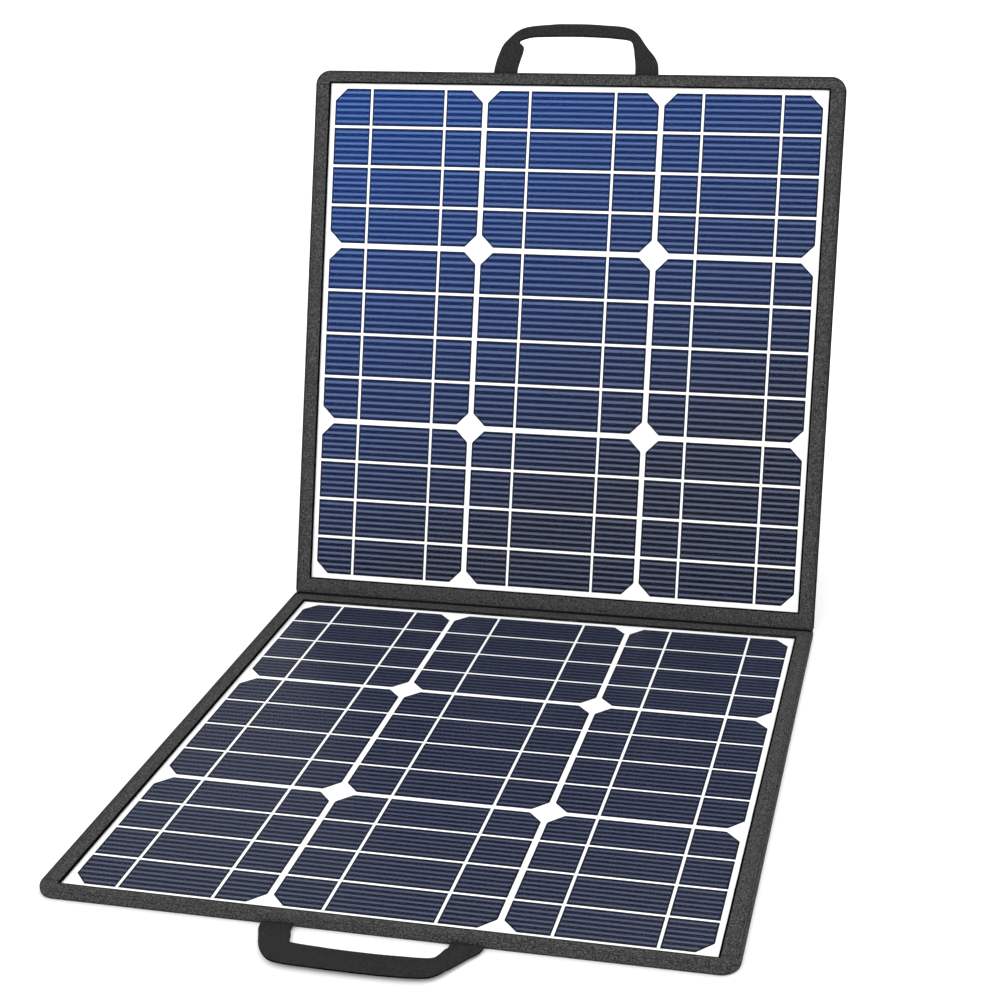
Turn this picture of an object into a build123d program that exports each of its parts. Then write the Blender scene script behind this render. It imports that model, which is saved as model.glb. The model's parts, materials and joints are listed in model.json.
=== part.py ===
"""Folding solar suitcase: two square fabric-bound panels joined by a fabric hinge.

Each leaf is built flat in leaf coordinates (x, s, n), in millimetres: x runs along the
fold, s runs away from the fold, and n is the height above the leaf's back face. The
lower leaf lies on the ground and the upper leaf leans back on a kickstand.
The origin is the middle of the lower leaf's underside, with +Z up and +X along the fold.
"""
import math
import os

from build123d import *

# Leaf outline
LEAF = 420.0
LEAF_T = 5.0
WINDOW = 395.0
CORNER_R = 11.5
BORDER = (LEAF - WINDOW) / 2
HALF = LEAF / 2

# Fold
FOLD_GAP = 0.75
HINGE_CLEAR = 0.3
LEAN_DEG = 110.0
FOLD_Y = HALF
FOLD_Z = LEAF_T + FOLD_GAP

# Layers of one leaf, as heights above its back face
COVER_TOP = 0.8
BOARD_TOP = 2.8
BACKSHEET_TOP = 3.3
CELL_TOP = 3.5
BUSBAR_TOP = 3.62
FILM_TOP = 4.0
MODULE_LAP = 4.0
BINDING_T = 1.0
SIDE_WALL_T = 2.5
STIFFENER_GAP = 1.0

# How far a cut runs past the face it opens
CUT = 1.0

# Cells: outer and middle rows or columns, and the gap between them
CELL_MARGIN = 4.0
CELL_GAP = 4.0
MIDDLE_CELL = 136.0
CELL_CHAMFER = 9.5
STRIPS_PER_CELL = 4
STRIP_GAP = 2.0
BUSBAR_W = 1.8
BUSBAR_SHARE = (0.25, 0.75)
BUSBAR_CLEAR = 0.1

# Handles, in the leaf's plane
HANDLE_BASE = 66.0
HANDLE_SHOULDER = 57.0
HANDLE_TOP = 49.0
WEBBING_W = 19.0
WEBBING_T = 1.8
GRIP_HALF = 41.0
GRIP_LAP = 1.0
LEG_TOP_DROP = 3.0
SHOULDER_DROP = 15.5
HANDLE_GAP = 1.3

# Each grip: its reach from the leaf, its height, its thickness, and the handle's tilt
LOWER_GRIP = (34.7, 19.0, 2.4, 3.0)
UPPER_GRIP = (36.5, 10.5, 4.8, -8.0)
ANCHOR_LENGTH = 17.0
ANCHOR_X = 56.0
ANCHOR_CLEAR = 0.3

# Wiring inside the leaf
JUNCTION = (34.0, 22.0, 1.6)
JUNCTION_S = 60.0
LEAD_W = 6.0
LEAD_T = 1.2
LEAD_X = 150.0
LEAD_CLEAR = 0.5
OUTPUT_S = 360.0
OUTPUT_X = -20.0
OUTPUT_END_N = -5.0

# Kickstand
STAND_W = 220.0
STAND_HINGE_S = 300.0
STAND_HINGE_N = -2.9
STAND_OPEN_DEG = 30.0
STAND_T = 3.4
STAND_BOARD_T = 1.8
STAND_HEM = 3.0
STAND_TOP_GAP = 1.5
STAND_BOARD_GAP = 2.0
STAND_R = 14.0
STAND_STRIP = (1.0, 13.0)
STAND_STRIP_T = 1.4
STRAP_W = 15.0
STRAP_T = 1.0
STRAP_X = 82.0
STRAP_GAP = 1.2
LEAF_STRAP_ALONG = 205.0
STAND_STRAP_ALONG = 232.0
PATCH = 22.0
PATCH_T = 0.7
HOOK_PAD = (40.0, 20.0, 0.4)
HOOK_PAD_ALONG = 262.0

# Pocket and output box on the back
POCKET_W = 240.0
POCKET_S = (318.0, 400.0)
POCKET_D = 25.0
POCKET_WALL = 1.2
FLAP_HINGE_S = 405.0
FLAP_HINGE_N = -1.2
FLAP_T = 1.4
FLAP_W = 246.0
FLAP_TONGUE = 36.0
FLAP_R = 12.0
FLAP_GAP = 1.5
FLAP_CLEAR = 0.5
FLAP_STRIP = 11.0
FLAP_STRIP_T = 1.0
TAPE = (190.0, 16.0, 0.6)
TAPE_INSET = 10.0
HOOK_TAPE_H = 12.0
HOOK_TAPE_INSET = 12.0
OUTBOX = (104.0, 56.0, 17.0)
OUTBOX_X = -40.0
OUTBOX_WALL = 1.8
OUTBOX_R = 4.0
OUTBOX_INSET = 12.0
OUTBOX_SPLIT = 0.45
PAD_T = 1.0
PAD_INSET = 6.0
CIRCUIT_T = 1.6
CIRCUIT_GAP = 0.6
USB = (13.2, 14.0, 5.8)
USB_X = (-28.0, -8.0)
USB_WALL = 0.4
USB_BACK = 1.0
TONGUE_INSET = 1.2
TONGUE_DROP = 1.8
TONGUE_T = 1.0
TONGUE_RECESS = 2.0
DC_R = 4.6
DC_MOUTH_R = 2.9
DC_DEPTH = 10.0
DC_PIN_R = 1.0
DC_PIN_L = 8.0
DC_X = 18.0
LIGHT_R = 1.6
LIGHT_L = 5.0
LIGHT_PROUD = 0.5
LIGHT_X = 36.0
PORT_CLEAR = 0.2
PORT_RECESS = 0.3
SCREW_R = 1.6
SCREW_TIP = 1.0
BOSS_R = 3.2
BOSS_CLEAR = 0.4
SCREW_INSET = 7.0

os.makedirs("parts", exist_ok=True)


def box(x0, x1, s0, s1, n0, n1):
    """A block between two corners, in leaf coordinates."""
    middle = ((x0 + x1) / 2, (s0 + s1) / 2, (n0 + n1) / 2)
    return Pos(*middle) * Box(abs(x1 - x0), abs(s1 - s0), abs(n1 - n0))


def disc(x, s, n0, n1, radius):
    """A round plug standing along n, in leaf coordinates."""
    return Pos(x, s, (n0 + n1) / 2) * Cylinder(radius, abs(n1 - n0))


def outline_slab(inset, s0, n0, n1):
    """The leaf's outline, inset all round but for the fold side, as a slab."""
    half, end, radius = HALF - inset, LEAF - inset, CORNER_R - inset
    slab = box(-half, half, s0, end, n0, n1)
    corners = slab.edges().filter_by(Axis.Z).group_by(Axis.Y)[-1]
    return fillet(corners, radius)


def cell_spans():
    """The three rows' or columns' spans across the window, from its far edge."""
    outer = (WINDOW - 2 * CELL_MARGIN - 2 * CELL_GAP - MIDDLE_CELL) / 2
    first = (CELL_MARGIN, CELL_MARGIN + outer)
    middle = (first[1] + CELL_GAP, first[1] + CELL_GAP + MIDDLE_CELL)
    last = (middle[1] + CELL_GAP, middle[1] + CELL_GAP + outer)
    return [first, middle, last]


def window_x(u):
    """Leaf x of a distance across the window from its left edge."""
    return u - WINDOW / 2


def window_s(v):
    """Leaf s of a distance down the window from its handle-side edge."""
    return LEAF - BORDER - v


def whole_cell(column, row, n0, n1):
    """One whole chamfered cell, before it is cut into strips."""
    x0, x1 = window_x(column[0]), window_x(column[1])
    s0, s1 = window_s(row[1]), window_s(row[0])
    cell = box(x0, x1, s0, s1, n0, n1)
    return chamfer(cell.edges().filter_by(Axis.Z), CELL_CHAMFER)


def strips_of(column, row):
    """The equal strips that one whole cell is cut into."""
    cell = whole_cell(column, row, BACKSHEET_TOP, CELL_TOP)
    pitch = (row[1] - row[0] + STRIP_GAP) / STRIPS_PER_CELL
    strips = []
    for i in range(STRIPS_PER_CELL):
        near = window_s(row[0] + i * pitch)
        far = near - (pitch - STRIP_GAP)
        x0, x1 = window_x(column[0]), window_x(column[1])
        strips += (cell & box(x0, x1, far, near, BACKSHEET_TOP, CELL_TOP)).solids()
    return strips


def busbar_places():
    """The x of each busbar ribbon: two in every column of cells."""
    spans = cell_spans()
    return [window_x(a + share * (b - a)) for a, b in spans for share in BUSBAR_SHARE]


def back_cover():
    return outline_slab(BINDING_T, HINGE_CLEAR, 0, COVER_TOP)


def stiffener():
    side = HALF - BINDING_T - SIDE_WALL_T
    end = LEAF - BINDING_T - ANCHOR_LENGTH - STIFFENER_GAP
    board = box(-side, side, BORDER / 2, end, COVER_TOP, BOARD_TOP)
    half_x, half_s = JUNCTION[0] / 2 + LEAD_CLEAR, JUNCTION[1] / 2 + LEAD_CLEAR
    s0, s1 = JUNCTION_S - half_s, JUNCTION_S + half_s
    board -= box(LEAD_X - half_x, LEAD_X + half_x, s0, s1, COVER_TOP, BOARD_TOP)
    half_lead = LEAD_W / 2 + LEAD_CLEAR
    board -= box(LEAD_X - half_lead, LEAD_X + half_lead, 0, s0, COVER_TOP, BOARD_TOP)
    return board


def output_lead(grow=0.0):
    """The flat lead from the upper module, up the leaf and across into the output box."""
    half = LEAD_W / 2 + grow
    start = JUNCTION_S + JUNCTION[1] / 2
    n0, n1 = BOARD_TOP - LEAD_T, BOARD_TOP
    up = box(LEAD_X - half, LEAD_X + half, start, OUTPUT_S + half, n0, n1)
    across = box(OUTPUT_X - half, LEAD_X + half, OUTPUT_S - half, OUTPUT_S + half, n0, n1)
    thin = LEAD_T / 2 + grow
    drop = box(OUTPUT_X - half, OUTPUT_X + half, OUTPUT_S - thin, OUTPUT_S + thin, OUTPUT_END_N, n1)
    return up + across + drop


def upper_stiffener():
    half = LEAD_W / 2 + LEAD_CLEAR
    start = JUNCTION_S + JUNCTION[1] / 2
    channel = box(LEAD_X - half, LEAD_X + half, start, OUTPUT_S + half, COVER_TOP, BOARD_TOP)
    s0, s1 = OUTPUT_S - half, OUTPUT_S + half
    channel += box(OUTPUT_X - half, LEAD_X + half, s0, s1, COVER_TOP, BOARD_TOP)
    return stiffener() - channel


def upper_back_cover():
    return back_cover() - output_lead(LEAD_CLEAR)


def junction_pad():
    half_x, half_s = JUNCTION[0] / 2, JUNCTION[1] / 2
    n0, n1 = BOARD_TOP - JUNCTION[2], BOARD_TOP
    return box(LEAD_X - half_x, LEAD_X + half_x, JUNCTION_S - half_s, JUNCTION_S + half_s, n0, n1)


def flat_lead():
    end = JUNCTION_S - JUNCTION[1] / 2
    n0, n1 = BOARD_TOP - LEAD_T, BOARD_TOP
    return box(LEAD_X - LEAD_W / 2, LEAD_X + LEAD_W / 2, HINGE_CLEAR, end, n0, n1)


def backsheet():
    half = WINDOW / 2 + MODULE_LAP
    s0, s1 = BORDER - MODULE_LAP, LEAF - BORDER + MODULE_LAP
    return box(-half, half, s0, s1, BOARD_TOP, BACKSHEET_TOP)


def cells():
    spans = cell_spans()
    return [strip for column in spans for row in spans for strip in strips_of(column, row)]


def busbars():
    s0, s1 = window_s(WINDOW - CELL_MARGIN), window_s(CELL_MARGIN)
    half = BUSBAR_W / 2
    return [box(x - half, x + half, s0, s1, CELL_TOP, BUSBAR_TOP) for x in busbar_places()]


def front_film():
    half = WINDOW / 2 + MODULE_LAP
    s0, s1 = BORDER - MODULE_LAP, LEAF - BORDER + MODULE_LAP
    film = box(-half, half, s0, s1, BACKSHEET_TOP, FILM_TOP)
    for column in cell_spans():
        for row in cell_spans():
            film -= whole_cell(column, row, BACKSHEET_TOP, BUSBAR_TOP)
    bar = BUSBAR_W / 2 + BUSBAR_CLEAR
    s0, s1 = window_s(WINDOW - CELL_MARGIN), window_s(CELL_MARGIN)
    for x in busbar_places():
        film -= box(x - bar, x + bar, s0, s1, BACKSHEET_TOP, BUSBAR_TOP)
    return film


def border_strip(x0, x1, s0, s1):
    """A border strip: it fills the leaf's edge and laps over the module's rim."""
    return box(x0, x1, s0, s1, COVER_TOP, LEAF_T)


def module_room():
    """The room the board and the module take inside the border."""
    half = WINDOW / 2 + MODULE_LAP
    s0, s1 = BORDER - MODULE_LAP, LEAF - BORDER + MODULE_LAP
    room = box(-half, half, s0, s1, BOARD_TOP, FILM_TOP)
    side = HALF - BINDING_T - SIDE_WALL_T
    room += box(-side, side, BORDER / 2, LEAF, COVER_TOP, BOARD_TOP)
    half_lead = LEAD_W / 2 + LEAD_CLEAR
    room += box(LEAD_X - half_lead, LEAD_X + half_lead, 0, BORDER, COVER_TOP, BOARD_TOP)
    return room


def side_borders():
    end = LEAF - BORDER
    half = WINDOW / 2
    strips = [
        border_strip(-HALF + BINDING_T, -half, BORDER, end),
        border_strip(half, HALF - BINDING_T, BORDER, end),
    ]
    return [strip - module_room() for strip in strips]


def end_border():
    """The handle-side strip, which turns the two outer corners."""
    slab = outline_slab(BINDING_T, LEAF - BORDER, COVER_TOP, LEAF_T)
    end = LEAF - BINDING_T - SIDE_WALL_T
    side = HALF - BINDING_T - SIDE_WALL_T
    room = box(-side, side, 0, end, COVER_TOP, BOARD_TOP)
    half = WINDOW / 2 + MODULE_LAP
    room += box(-half, half, 0, LEAF - BORDER + MODULE_LAP, BOARD_TOP, FILM_TOP)
    for side_x in (-ANCHOR_X, ANCHOR_X):
        half_w = WEBBING_W / 2 + ANCHOR_CLEAR
        top = COVER_TOP + WEBBING_T
        room += box(side_x - half_w, side_x + half_w, end - CUT, LEAF, COVER_TOP, top)
    return slab - room


def hinge_band():
    """This leaf's half of the fabric band that joins the two leaves."""
    half = HALF - BINDING_T
    return border_strip(-half, half, HINGE_CLEAR, BORDER) - module_room()


def edge_binding():
    """Binding tape round the three outer edges."""
    outer = outline_slab(0, HINGE_CLEAR, 0, LEAF_T)
    inner = outline_slab(BINDING_T, 0, 0, LEAF_T)
    tape = outer - inner
    for side_x in (-ANCHOR_X, ANCHOR_X):
        half_w = WEBBING_W / 2 + ANCHOR_CLEAR
        top = COVER_TOP + WEBBING_T
        start, end = LEAF - BINDING_T - CUT, LEAF + CUT
        tape -= box(side_x - half_w, side_x + half_w, start, end, COVER_TOP, top)
    return tape


def handle_anchors():
    """The two webbing ends sewn in between the back cover and the border."""
    half = WEBBING_W / 2
    s0, s1 = LEAF - BINDING_T - ANCHOR_LENGTH, LEAF
    n1 = COVER_TOP + WEBBING_T
    return [box(x - half, x + half, s0, s1, COVER_TOP, n1) for x in (-ANCHOR_X, ANCHOR_X)]


def handle_n():
    """The height of the handle's middle plane: that of its sewn ends."""
    return COVER_TOP + WEBBING_T / 2


def handle(reach, grip_h, grip_t, tilt):
    """The loop of webbing outside the leaf: two legs that lean in, and the grip."""
    base, top = LEAF + HANDLE_GAP, LEAF + reach
    grip_s, half_t = top - grip_h, grip_t / 2
    half = GRIP_HALF + GRIP_LAP
    loop = box(-half, half, grip_s, top, handle_n() - half_t, handle_n() + half_t)
    loop = fillet(loop.edges().filter_by(Axis.X), grip_t / 3)
    for side in (-1, 1):
        leg = Polyline(
            (side * HANDLE_BASE, base),
            (side * (HANDLE_BASE - WEBBING_W), base),
            (side * (GRIP_HALF - GRIP_LAP), grip_s),
            (side * (GRIP_HALF - GRIP_LAP), top - GRIP_LAP),
            (side * HANDLE_TOP, top - LEG_TOP_DROP),
            (side * HANDLE_SHOULDER, top - SHOULDER_DROP),
            close=True,
        )
        web = extrude(make_face(leg), amount=WEBBING_T / 2, both=True)
        loop += Pos(0, 0, handle_n()) * web
    root = Axis((0, base, handle_n()), (1, 0, 0))
    return loop.rotate(root, tilt)


def lower_handle():
    """The webbing stays flat and open along this grip."""
    return handle(*LOWER_GRIP)


def upper_handle():
    """The webbing is folded in half along this grip."""
    return handle(*UPPER_GRIP)


def stand_end():
    """The kickstand's length, from its hinge to where its lower corner meets the ground."""
    lean = math.radians(LEAN_DEG)
    tilt = math.radians(STAND_OPEN_DEG - (LEAN_DEG - 90))
    height = FOLD_Z + STAND_HINGE_S * math.sin(lean) - (STAND_HINGE_N - FOLD_Z) * math.cos(lean)
    return (height - STAND_T / 2 * math.sin(tilt)) / math.cos(tilt)


def opened(shape):
    """Swing a shape on the closed kickstand out to where it stands."""
    hinge = Axis((0, STAND_HINGE_S, STAND_HINGE_N), (1, 0, 0))
    return shape.rotate(hinge, STAND_OPEN_DEG)


def stand_slab(n0, n1, inset, top):
    """A slab of the closed kickstand, inset at its sides and foot, up to a given s."""
    foot = STAND_HINGE_S - stand_end() + inset
    half = STAND_W / 2 - inset
    slab = box(-half, half, foot, top, n0, n1)
    feet = slab.edges().filter_by(Axis.Z).group_by(Axis.Y)[0]
    return fillet(feet, STAND_R - inset)


def stand_top():
    return STAND_HINGE_S - STAND_TOP_GAP


def stand_faces():
    """The heights of the closed kickstand's outer and inner faces."""
    return STAND_HINGE_N - STAND_T / 2, STAND_HINGE_N + STAND_T / 2


def board_faces():
    return STAND_HINGE_N - STAND_BOARD_T / 2, STAND_HINGE_N + STAND_BOARD_T / 2


def kickstand_board():
    return opened(stand_slab(*board_faces(), STAND_HEM, stand_top() - STAND_BOARD_GAP))


def kickstand_cover():
    """The fabric sleeve round the kickstand's board, open at its top edge."""
    pocket = stand_slab(*board_faces(), STAND_HEM, STAND_HINGE_S)
    return opened(stand_slab(*stand_faces(), 0.0, stand_top()) - pocket)


def kickstand_hinge_strip():
    """The sewn strip that holds the kickstand's fabric to the back cover."""
    half = STAND_W / 2
    s0, s1 = STAND_HINGE_S + STAND_STRIP[0], STAND_HINGE_S + STAND_STRIP[1]
    return box(-half, half, s0, s1, -STAND_STRIP_T, 0)


def strap_start():
    """Where a strap leaves the back cover, as s and n."""
    return STAND_HINGE_S - LEAF_STRAP_ALONG, -PATCH_T


def strap_finish():
    """Where a strap meets the open kickstand's inner face, as s and n."""
    opening = math.radians(STAND_OPEN_DEG)
    lift = STAND_T / 2 + PATCH_T
    s = STAND_HINGE_S - STAND_STRAP_ALONG * math.cos(opening) - lift * math.sin(opening)
    n = STAND_HINGE_N - STAND_STRAP_ALONG * math.sin(opening) + lift * math.cos(opening)
    return s, n


def kickstand_straps():
    """Two limit straps, drawn tight by the open kickstand."""
    (s0, n0), (s1, n1) = strap_start(), strap_finish()
    run = math.hypot(s1 - s0, n1 - n0)
    slope = math.degrees(math.atan2(n1 - n0, s1 - s0))
    strap = Pos(0, run / 2, 0) * Box(STRAP_W, run - 2 * STRAP_GAP, STRAP_T)
    placed = Pos(0, s0, n0) * (Rot(slope, 0, 0) * strap)
    return [Pos(x, 0, 0) * placed for x in (-STRAP_X, STRAP_X)]


def patches(s, n0, n1):
    """A pair of square sewn patches, one for each strap."""
    half = PATCH / 2
    return [box(x - half, x + half, s - half, s + half, n0, n1) for x in (-STRAP_X, STRAP_X)]


def leaf_strap_patches():
    return patches(strap_start()[0], -PATCH_T, 0)


def stand_strap_patches():
    inner = stand_faces()[1]
    sewn = patches(STAND_HINGE_S - STAND_STRAP_ALONG, inner, inner + PATCH_T)
    return [opened(patch) for patch in sewn]


def stow_pad(n0, n1):
    half_x, half_s = HOOK_PAD[0] / 2, HOOK_PAD[1] / 2
    s = STAND_HINGE_S - HOOK_PAD_ALONG
    return box(-half_x, half_x, s - half_s, s + half_s, n0, n1)


def leaf_stow_pad():
    return stow_pad(-HOOK_PAD[2], 0)


def stand_stow_pad():
    inner = stand_faces()[1]
    return opened(stow_pad(inner, inner + HOOK_PAD[2]))


def pocket_front():
    """The pocket's outer panel."""
    half = POCKET_W / 2
    return box(-half, half, *POCKET_S, -POCKET_D, -POCKET_D + POCKET_WALL)


def pocket_gussets():
    """The pocket's two side walls and its floor."""
    half = POCKET_W / 2
    (s0, s1), n0 = POCKET_S, -POCKET_D + POCKET_WALL
    return [
        box(-half, -half + POCKET_WALL, s0 + POCKET_WALL, s1, n0, 0),
        box(half - POCKET_WALL, half, s0 + POCKET_WALL, s1, n0, 0),
        box(-half, half, s0, s0 + POCKET_WALL, n0, 0),
    ]


def pocket_loop_tape():
    """Loop tape on the pocket's outer panel, for the flap to close on."""
    half = TAPE[0] / 2
    s1 = POCKET_S[1] - TAPE_INSET
    return box(-half, half, s1 - TAPE[1], s1, -POCKET_D - TAPE[2], -POCKET_D)


def flap_inner_n():
    """The height of the closed tongue's inner face, clear of both tapes."""
    return -POCKET_D - 2 * TAPE[2] - FLAP_CLEAR


def flap_lid():
    """The flap's top panel over the pocket's mouth."""
    half = FLAP_W / 2
    s0 = POCKET_S[1] + FLAP_GAP
    return box(-half, half, s0, s0 + FLAP_T, flap_inner_n() - FLAP_T, FLAP_HINGE_N)


def flap_tongue():
    """The flap's front panel, which hangs over the pocket."""
    half = FLAP_W / 2
    s1 = POCKET_S[1] + FLAP_GAP
    tongue = box(-half, half, s1 - FLAP_TONGUE, s1, flap_inner_n() - FLAP_T, flap_inner_n())
    lower = tongue.edges().filter_by(Axis.Z).group_by(Axis.Y)[0]
    return fillet(lower, FLAP_R)


def flap_hook_tape():
    half = TAPE[0] / 2
    s1 = POCKET_S[1] - HOOK_TAPE_INSET
    n0 = flap_inner_n()
    return box(-half, half, s1 - HOOK_TAPE_H, s1, n0, n0 + TAPE[2])


def flap_hinge_strip():
    """The strip that sews the flap to the back cover."""
    half = FLAP_W / 2
    return box(-half, half, FLAP_HINGE_S, FLAP_HINGE_S + FLAP_STRIP, -FLAP_STRIP_T, 0)


def outbox_frame():
    """The output box's extent in x, s and n, with the foam pad behind it."""
    s1 = POCKET_S[1] - OUTBOX_INSET
    half = OUTBOX[0] / 2
    return OUTBOX_X - half, OUTBOX_X + half, s1 - OUTBOX[1], s1, -OUTBOX[2] - PAD_T, -PAD_T


def outbox_split():
    """The height where the output box's base meets its cover."""
    return -OUTBOX[2] * OUTBOX_SPLIT


def port_wall():
    """The outer s of the ports' wall, and the height of the ports' middle."""
    _, _, _, s1, n0, n1 = outbox_frame()
    return s1, (n0 + n1) / 2


def rod(x, s0, s1, n, radius):
    """A round rod along s, in leaf coordinates."""
    return Pos(x, (s0 + s1) / 2, n) * Rot(90, 0, 0) * Cylinder(radius, s1 - s0)


def outbox_ports(grow):
    """The room of the sockets, the jack and the light in the box's top wall."""
    s1, middle = port_wall()
    half_x, half_n = USB[0] / 2 + grow, USB[2] / 2 + grow
    room = []
    for x in USB_X:
        cx = OUTBOX_X + x
        room.append(box(cx - half_x, cx + half_x, s1 - USB[1], s1 + CUT, middle - half_n, middle + half_n))
    room.append(rod(OUTBOX_X + DC_X, s1 - USB[1], s1 + CUT, middle, DC_R + grow))
    inner = s1 + LIGHT_PROUD - LIGHT_L - CUT / 2
    room.append(rod(OUTBOX_X + LIGHT_X, inner, s1 + CUT, middle, LIGHT_R + grow))
    return room


def outbox_shell(n0, n1, floor_n0, floor_n1):
    """Half of the output box's case, hollow on its inner side."""
    x0, x1, s0, s1, _, _ = outbox_frame()
    outer = fillet(box(x0, x1, s0, s1, n0, n1).edges().filter_by(Axis.Z), OUTBOX_R)
    wall = OUTBOX_WALL
    inner = box(x0 + wall, x1 - wall, s0 + wall, s1 - wall, floor_n0, floor_n1)
    shell = outer - inner
    for room in outbox_ports(PORT_CLEAR):
        shell -= room
    for x, s in screw_places():
        shell += disc(x, s, floor_n0, floor_n1, BOSS_R) & outer
        shell -= disc(x, s, -POCKET_D, 0, SCREW_R)
    return shell


def screw_places():
    x0, x1, s0, s1, _, _ = outbox_frame()
    inset = SCREW_INSET
    return [(x, s) for x in (x0 + inset, x1 - inset) for s in (s0 + inset, s1 - inset)]


def outbox_base():
    _, _, _, _, _, n1 = outbox_frame()
    shell = outbox_shell(outbox_split(), n1, outbox_split(), n1 - OUTBOX_WALL)
    return shell - output_lead(LEAD_CLEAR)


def outbox_cover():
    _, _, _, _, n0, _ = outbox_frame()
    return outbox_shell(n0, outbox_split(), n0 + OUTBOX_WALL, outbox_split())


def outbox_screws():
    """Four screws through the cover into the base, their heads flush with the cover."""
    _, _, _, _, n0, n1 = outbox_frame()
    return [disc(x, s, n0, n1 - SCREW_TIP, SCREW_R) for x, s in screw_places()]


def circuit_board():
    x0, x1, s0, s1, n0, n1 = outbox_frame()
    clear = OUTBOX_WALL + CIRCUIT_GAP
    middle, half_t = (n0 + n1) / 2, CIRCUIT_T / 2
    board = box(x0 + clear, x1 - clear, s0 + clear, s1 - USB[1], middle - half_t, middle + half_t)
    for x, s in screw_places():
        board -= disc(x, s, -POCKET_D, 0, BOSS_R + BOSS_CLEAR)
    return board


def usb_socket(x):
    """One USB socket: a steel shell with a contact tongue."""
    s1, middle = port_wall()
    half_x, half_n = USB[0] / 2, USB[2] / 2
    outer, back = s1 - PORT_RECESS, s1 - USB[1]
    shell = box(x - half_x, x + half_x, back, outer, middle - half_n, middle + half_n)
    half_x, half_n = half_x - USB_WALL, half_n - USB_WALL
    mouth = box(x - half_x, x + half_x, back + USB_BACK, s1, middle - half_n, middle + half_n)
    half_x, n1 = USB[0] / 2 - TONGUE_INSET, middle + half_n - TONGUE_DROP
    tongue = box(x - half_x, x + half_x, back + USB_BACK, s1 - TONGUE_RECESS, n1 - TONGUE_T, n1)
    return shell - mouth + tongue


def usb_sockets():
    return [usb_socket(OUTBOX_X + x) for x in USB_X]


def dc_jack():
    """A barrel jack with its centre pin."""
    s1, middle = port_wall()
    x, inner = OUTBOX_X + DC_X, s1 - DC_DEPTH
    body = rod(x, s1 - USB[1], s1 - PORT_RECESS, middle, DC_R)
    mouth = rod(x, inner, s1, middle, DC_MOUTH_R)
    pin = rod(x, inner, inner + DC_PIN_L, middle, DC_PIN_R)
    return body - mouth + pin


def status_light():
    s1, middle = port_wall()
    outer = s1 + LIGHT_PROUD
    return rod(OUTBOX_X + LIGHT_X, outer - LIGHT_L, outer, middle, LIGHT_R)


def outbox_pad():
    """The adhesive foam pad that holds the output box to the back cover."""
    x0, x1, s0, s1, _, n1 = outbox_frame()
    pad = box(x0 + PAD_INSET, x1 - PAD_INSET, s0 + PAD_INSET, s1 - PAD_INSET, n1, 0)
    return pad - output_lead(LEAD_CLEAR)


def lay_flat(shape):
    """Place a leaf-coordinate shape as the lower leaf: s runs towards -Y."""
    return Pos(0, FOLD_Y, 0) * mirror(shape, about=Plane.XZ)


def stand_up(shape):
    """Place a leaf-coordinate shape as the upper leaf, leaning back."""
    about_fold = Pos(0, 0, -FOLD_Z) * shape
    return Pos(0, FOLD_Y, FOLD_Z) * (Rot(180 - LEAN_DEG, 0, 0) * about_fold)


def write(name, shape, place):
    """Write one node, whether it is one solid or a group of like solids."""
    solids = shape if isinstance(shape, list) else [shape]
    placed = [place(solid) for solid in solids]
    made = placed[0] if len(placed) == 1 else Compound(children=placed)
    export_step(made, f"parts/{name}.step")


LEAF_NODES = {
    "junction_pad": junction_pad,
    "flat_lead": flat_lead,
    "backsheet": backsheet,
    "cells": cells,
    "busbars": busbars,
    "front_film": front_film,
    "side_borders": side_borders,
    "end_border": end_border,
    "hinge_band": hinge_band,
    "edge_binding": edge_binding,
    "handle_anchors": handle_anchors,
}

LOWER_NODES = {
    "lower_back_cover": back_cover,
    "lower_stiffener": stiffener,
    "lower_handle": lower_handle,
}

UPPER_NODES = {
    "upper_back_cover": upper_back_cover,
    "upper_stiffener": upper_stiffener,
    "upper_handle": upper_handle,
    "output_lead": output_lead,
    "kickstand_board": kickstand_board,
    "kickstand_cover": kickstand_cover,
    "kickstand_hinge_strip": kickstand_hinge_strip,
    "kickstand_straps": kickstand_straps,
    "leaf_strap_patches": leaf_strap_patches,
    "stand_strap_patches": stand_strap_patches,
    "leaf_stow_pad": leaf_stow_pad,
    "stand_stow_pad": stand_stow_pad,
    "pocket_front": pocket_front,
    "pocket_gussets": pocket_gussets,
    "pocket_loop_tape": pocket_loop_tape,
    "flap_lid": flap_lid,
    "flap_tongue": flap_tongue,
    "flap_hook_tape": flap_hook_tape,
    "flap_hinge_strip": flap_hinge_strip,
    "outbox_pad": outbox_pad,
    "outbox_base": outbox_base,
    "outbox_cover": outbox_cover,
    "outbox_screws": outbox_screws,
    "circuit_board": circuit_board,
    "usb_sockets": usb_sockets,
    "dc_jack": dc_jack,
    "status_light": status_light,
}

for node, make in LEAF_NODES.items():
    write(f"lower_{node}", make(), lay_flat)
    write(f"upper_{node}", make(), stand_up)
for node, make in LOWER_NODES.items():
    write(node, make(), lay_flat)
for node, make in UPPER_NODES.items():
    write(node, make(), stand_up)
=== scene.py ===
"""Looks for the folding solar suitcase: fabric, webbing, seams, materials, light and camera.

Soft pieces are built in leaf coordinates (x, s, n), in millimetres: x along the fold, s
away from the fold, n above the leaf's back face. A place function turns them into metres
in the row frame.
"""
import json
import math

import bmesh
import bpy
from mathutils import Euler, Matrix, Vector, noise


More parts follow.
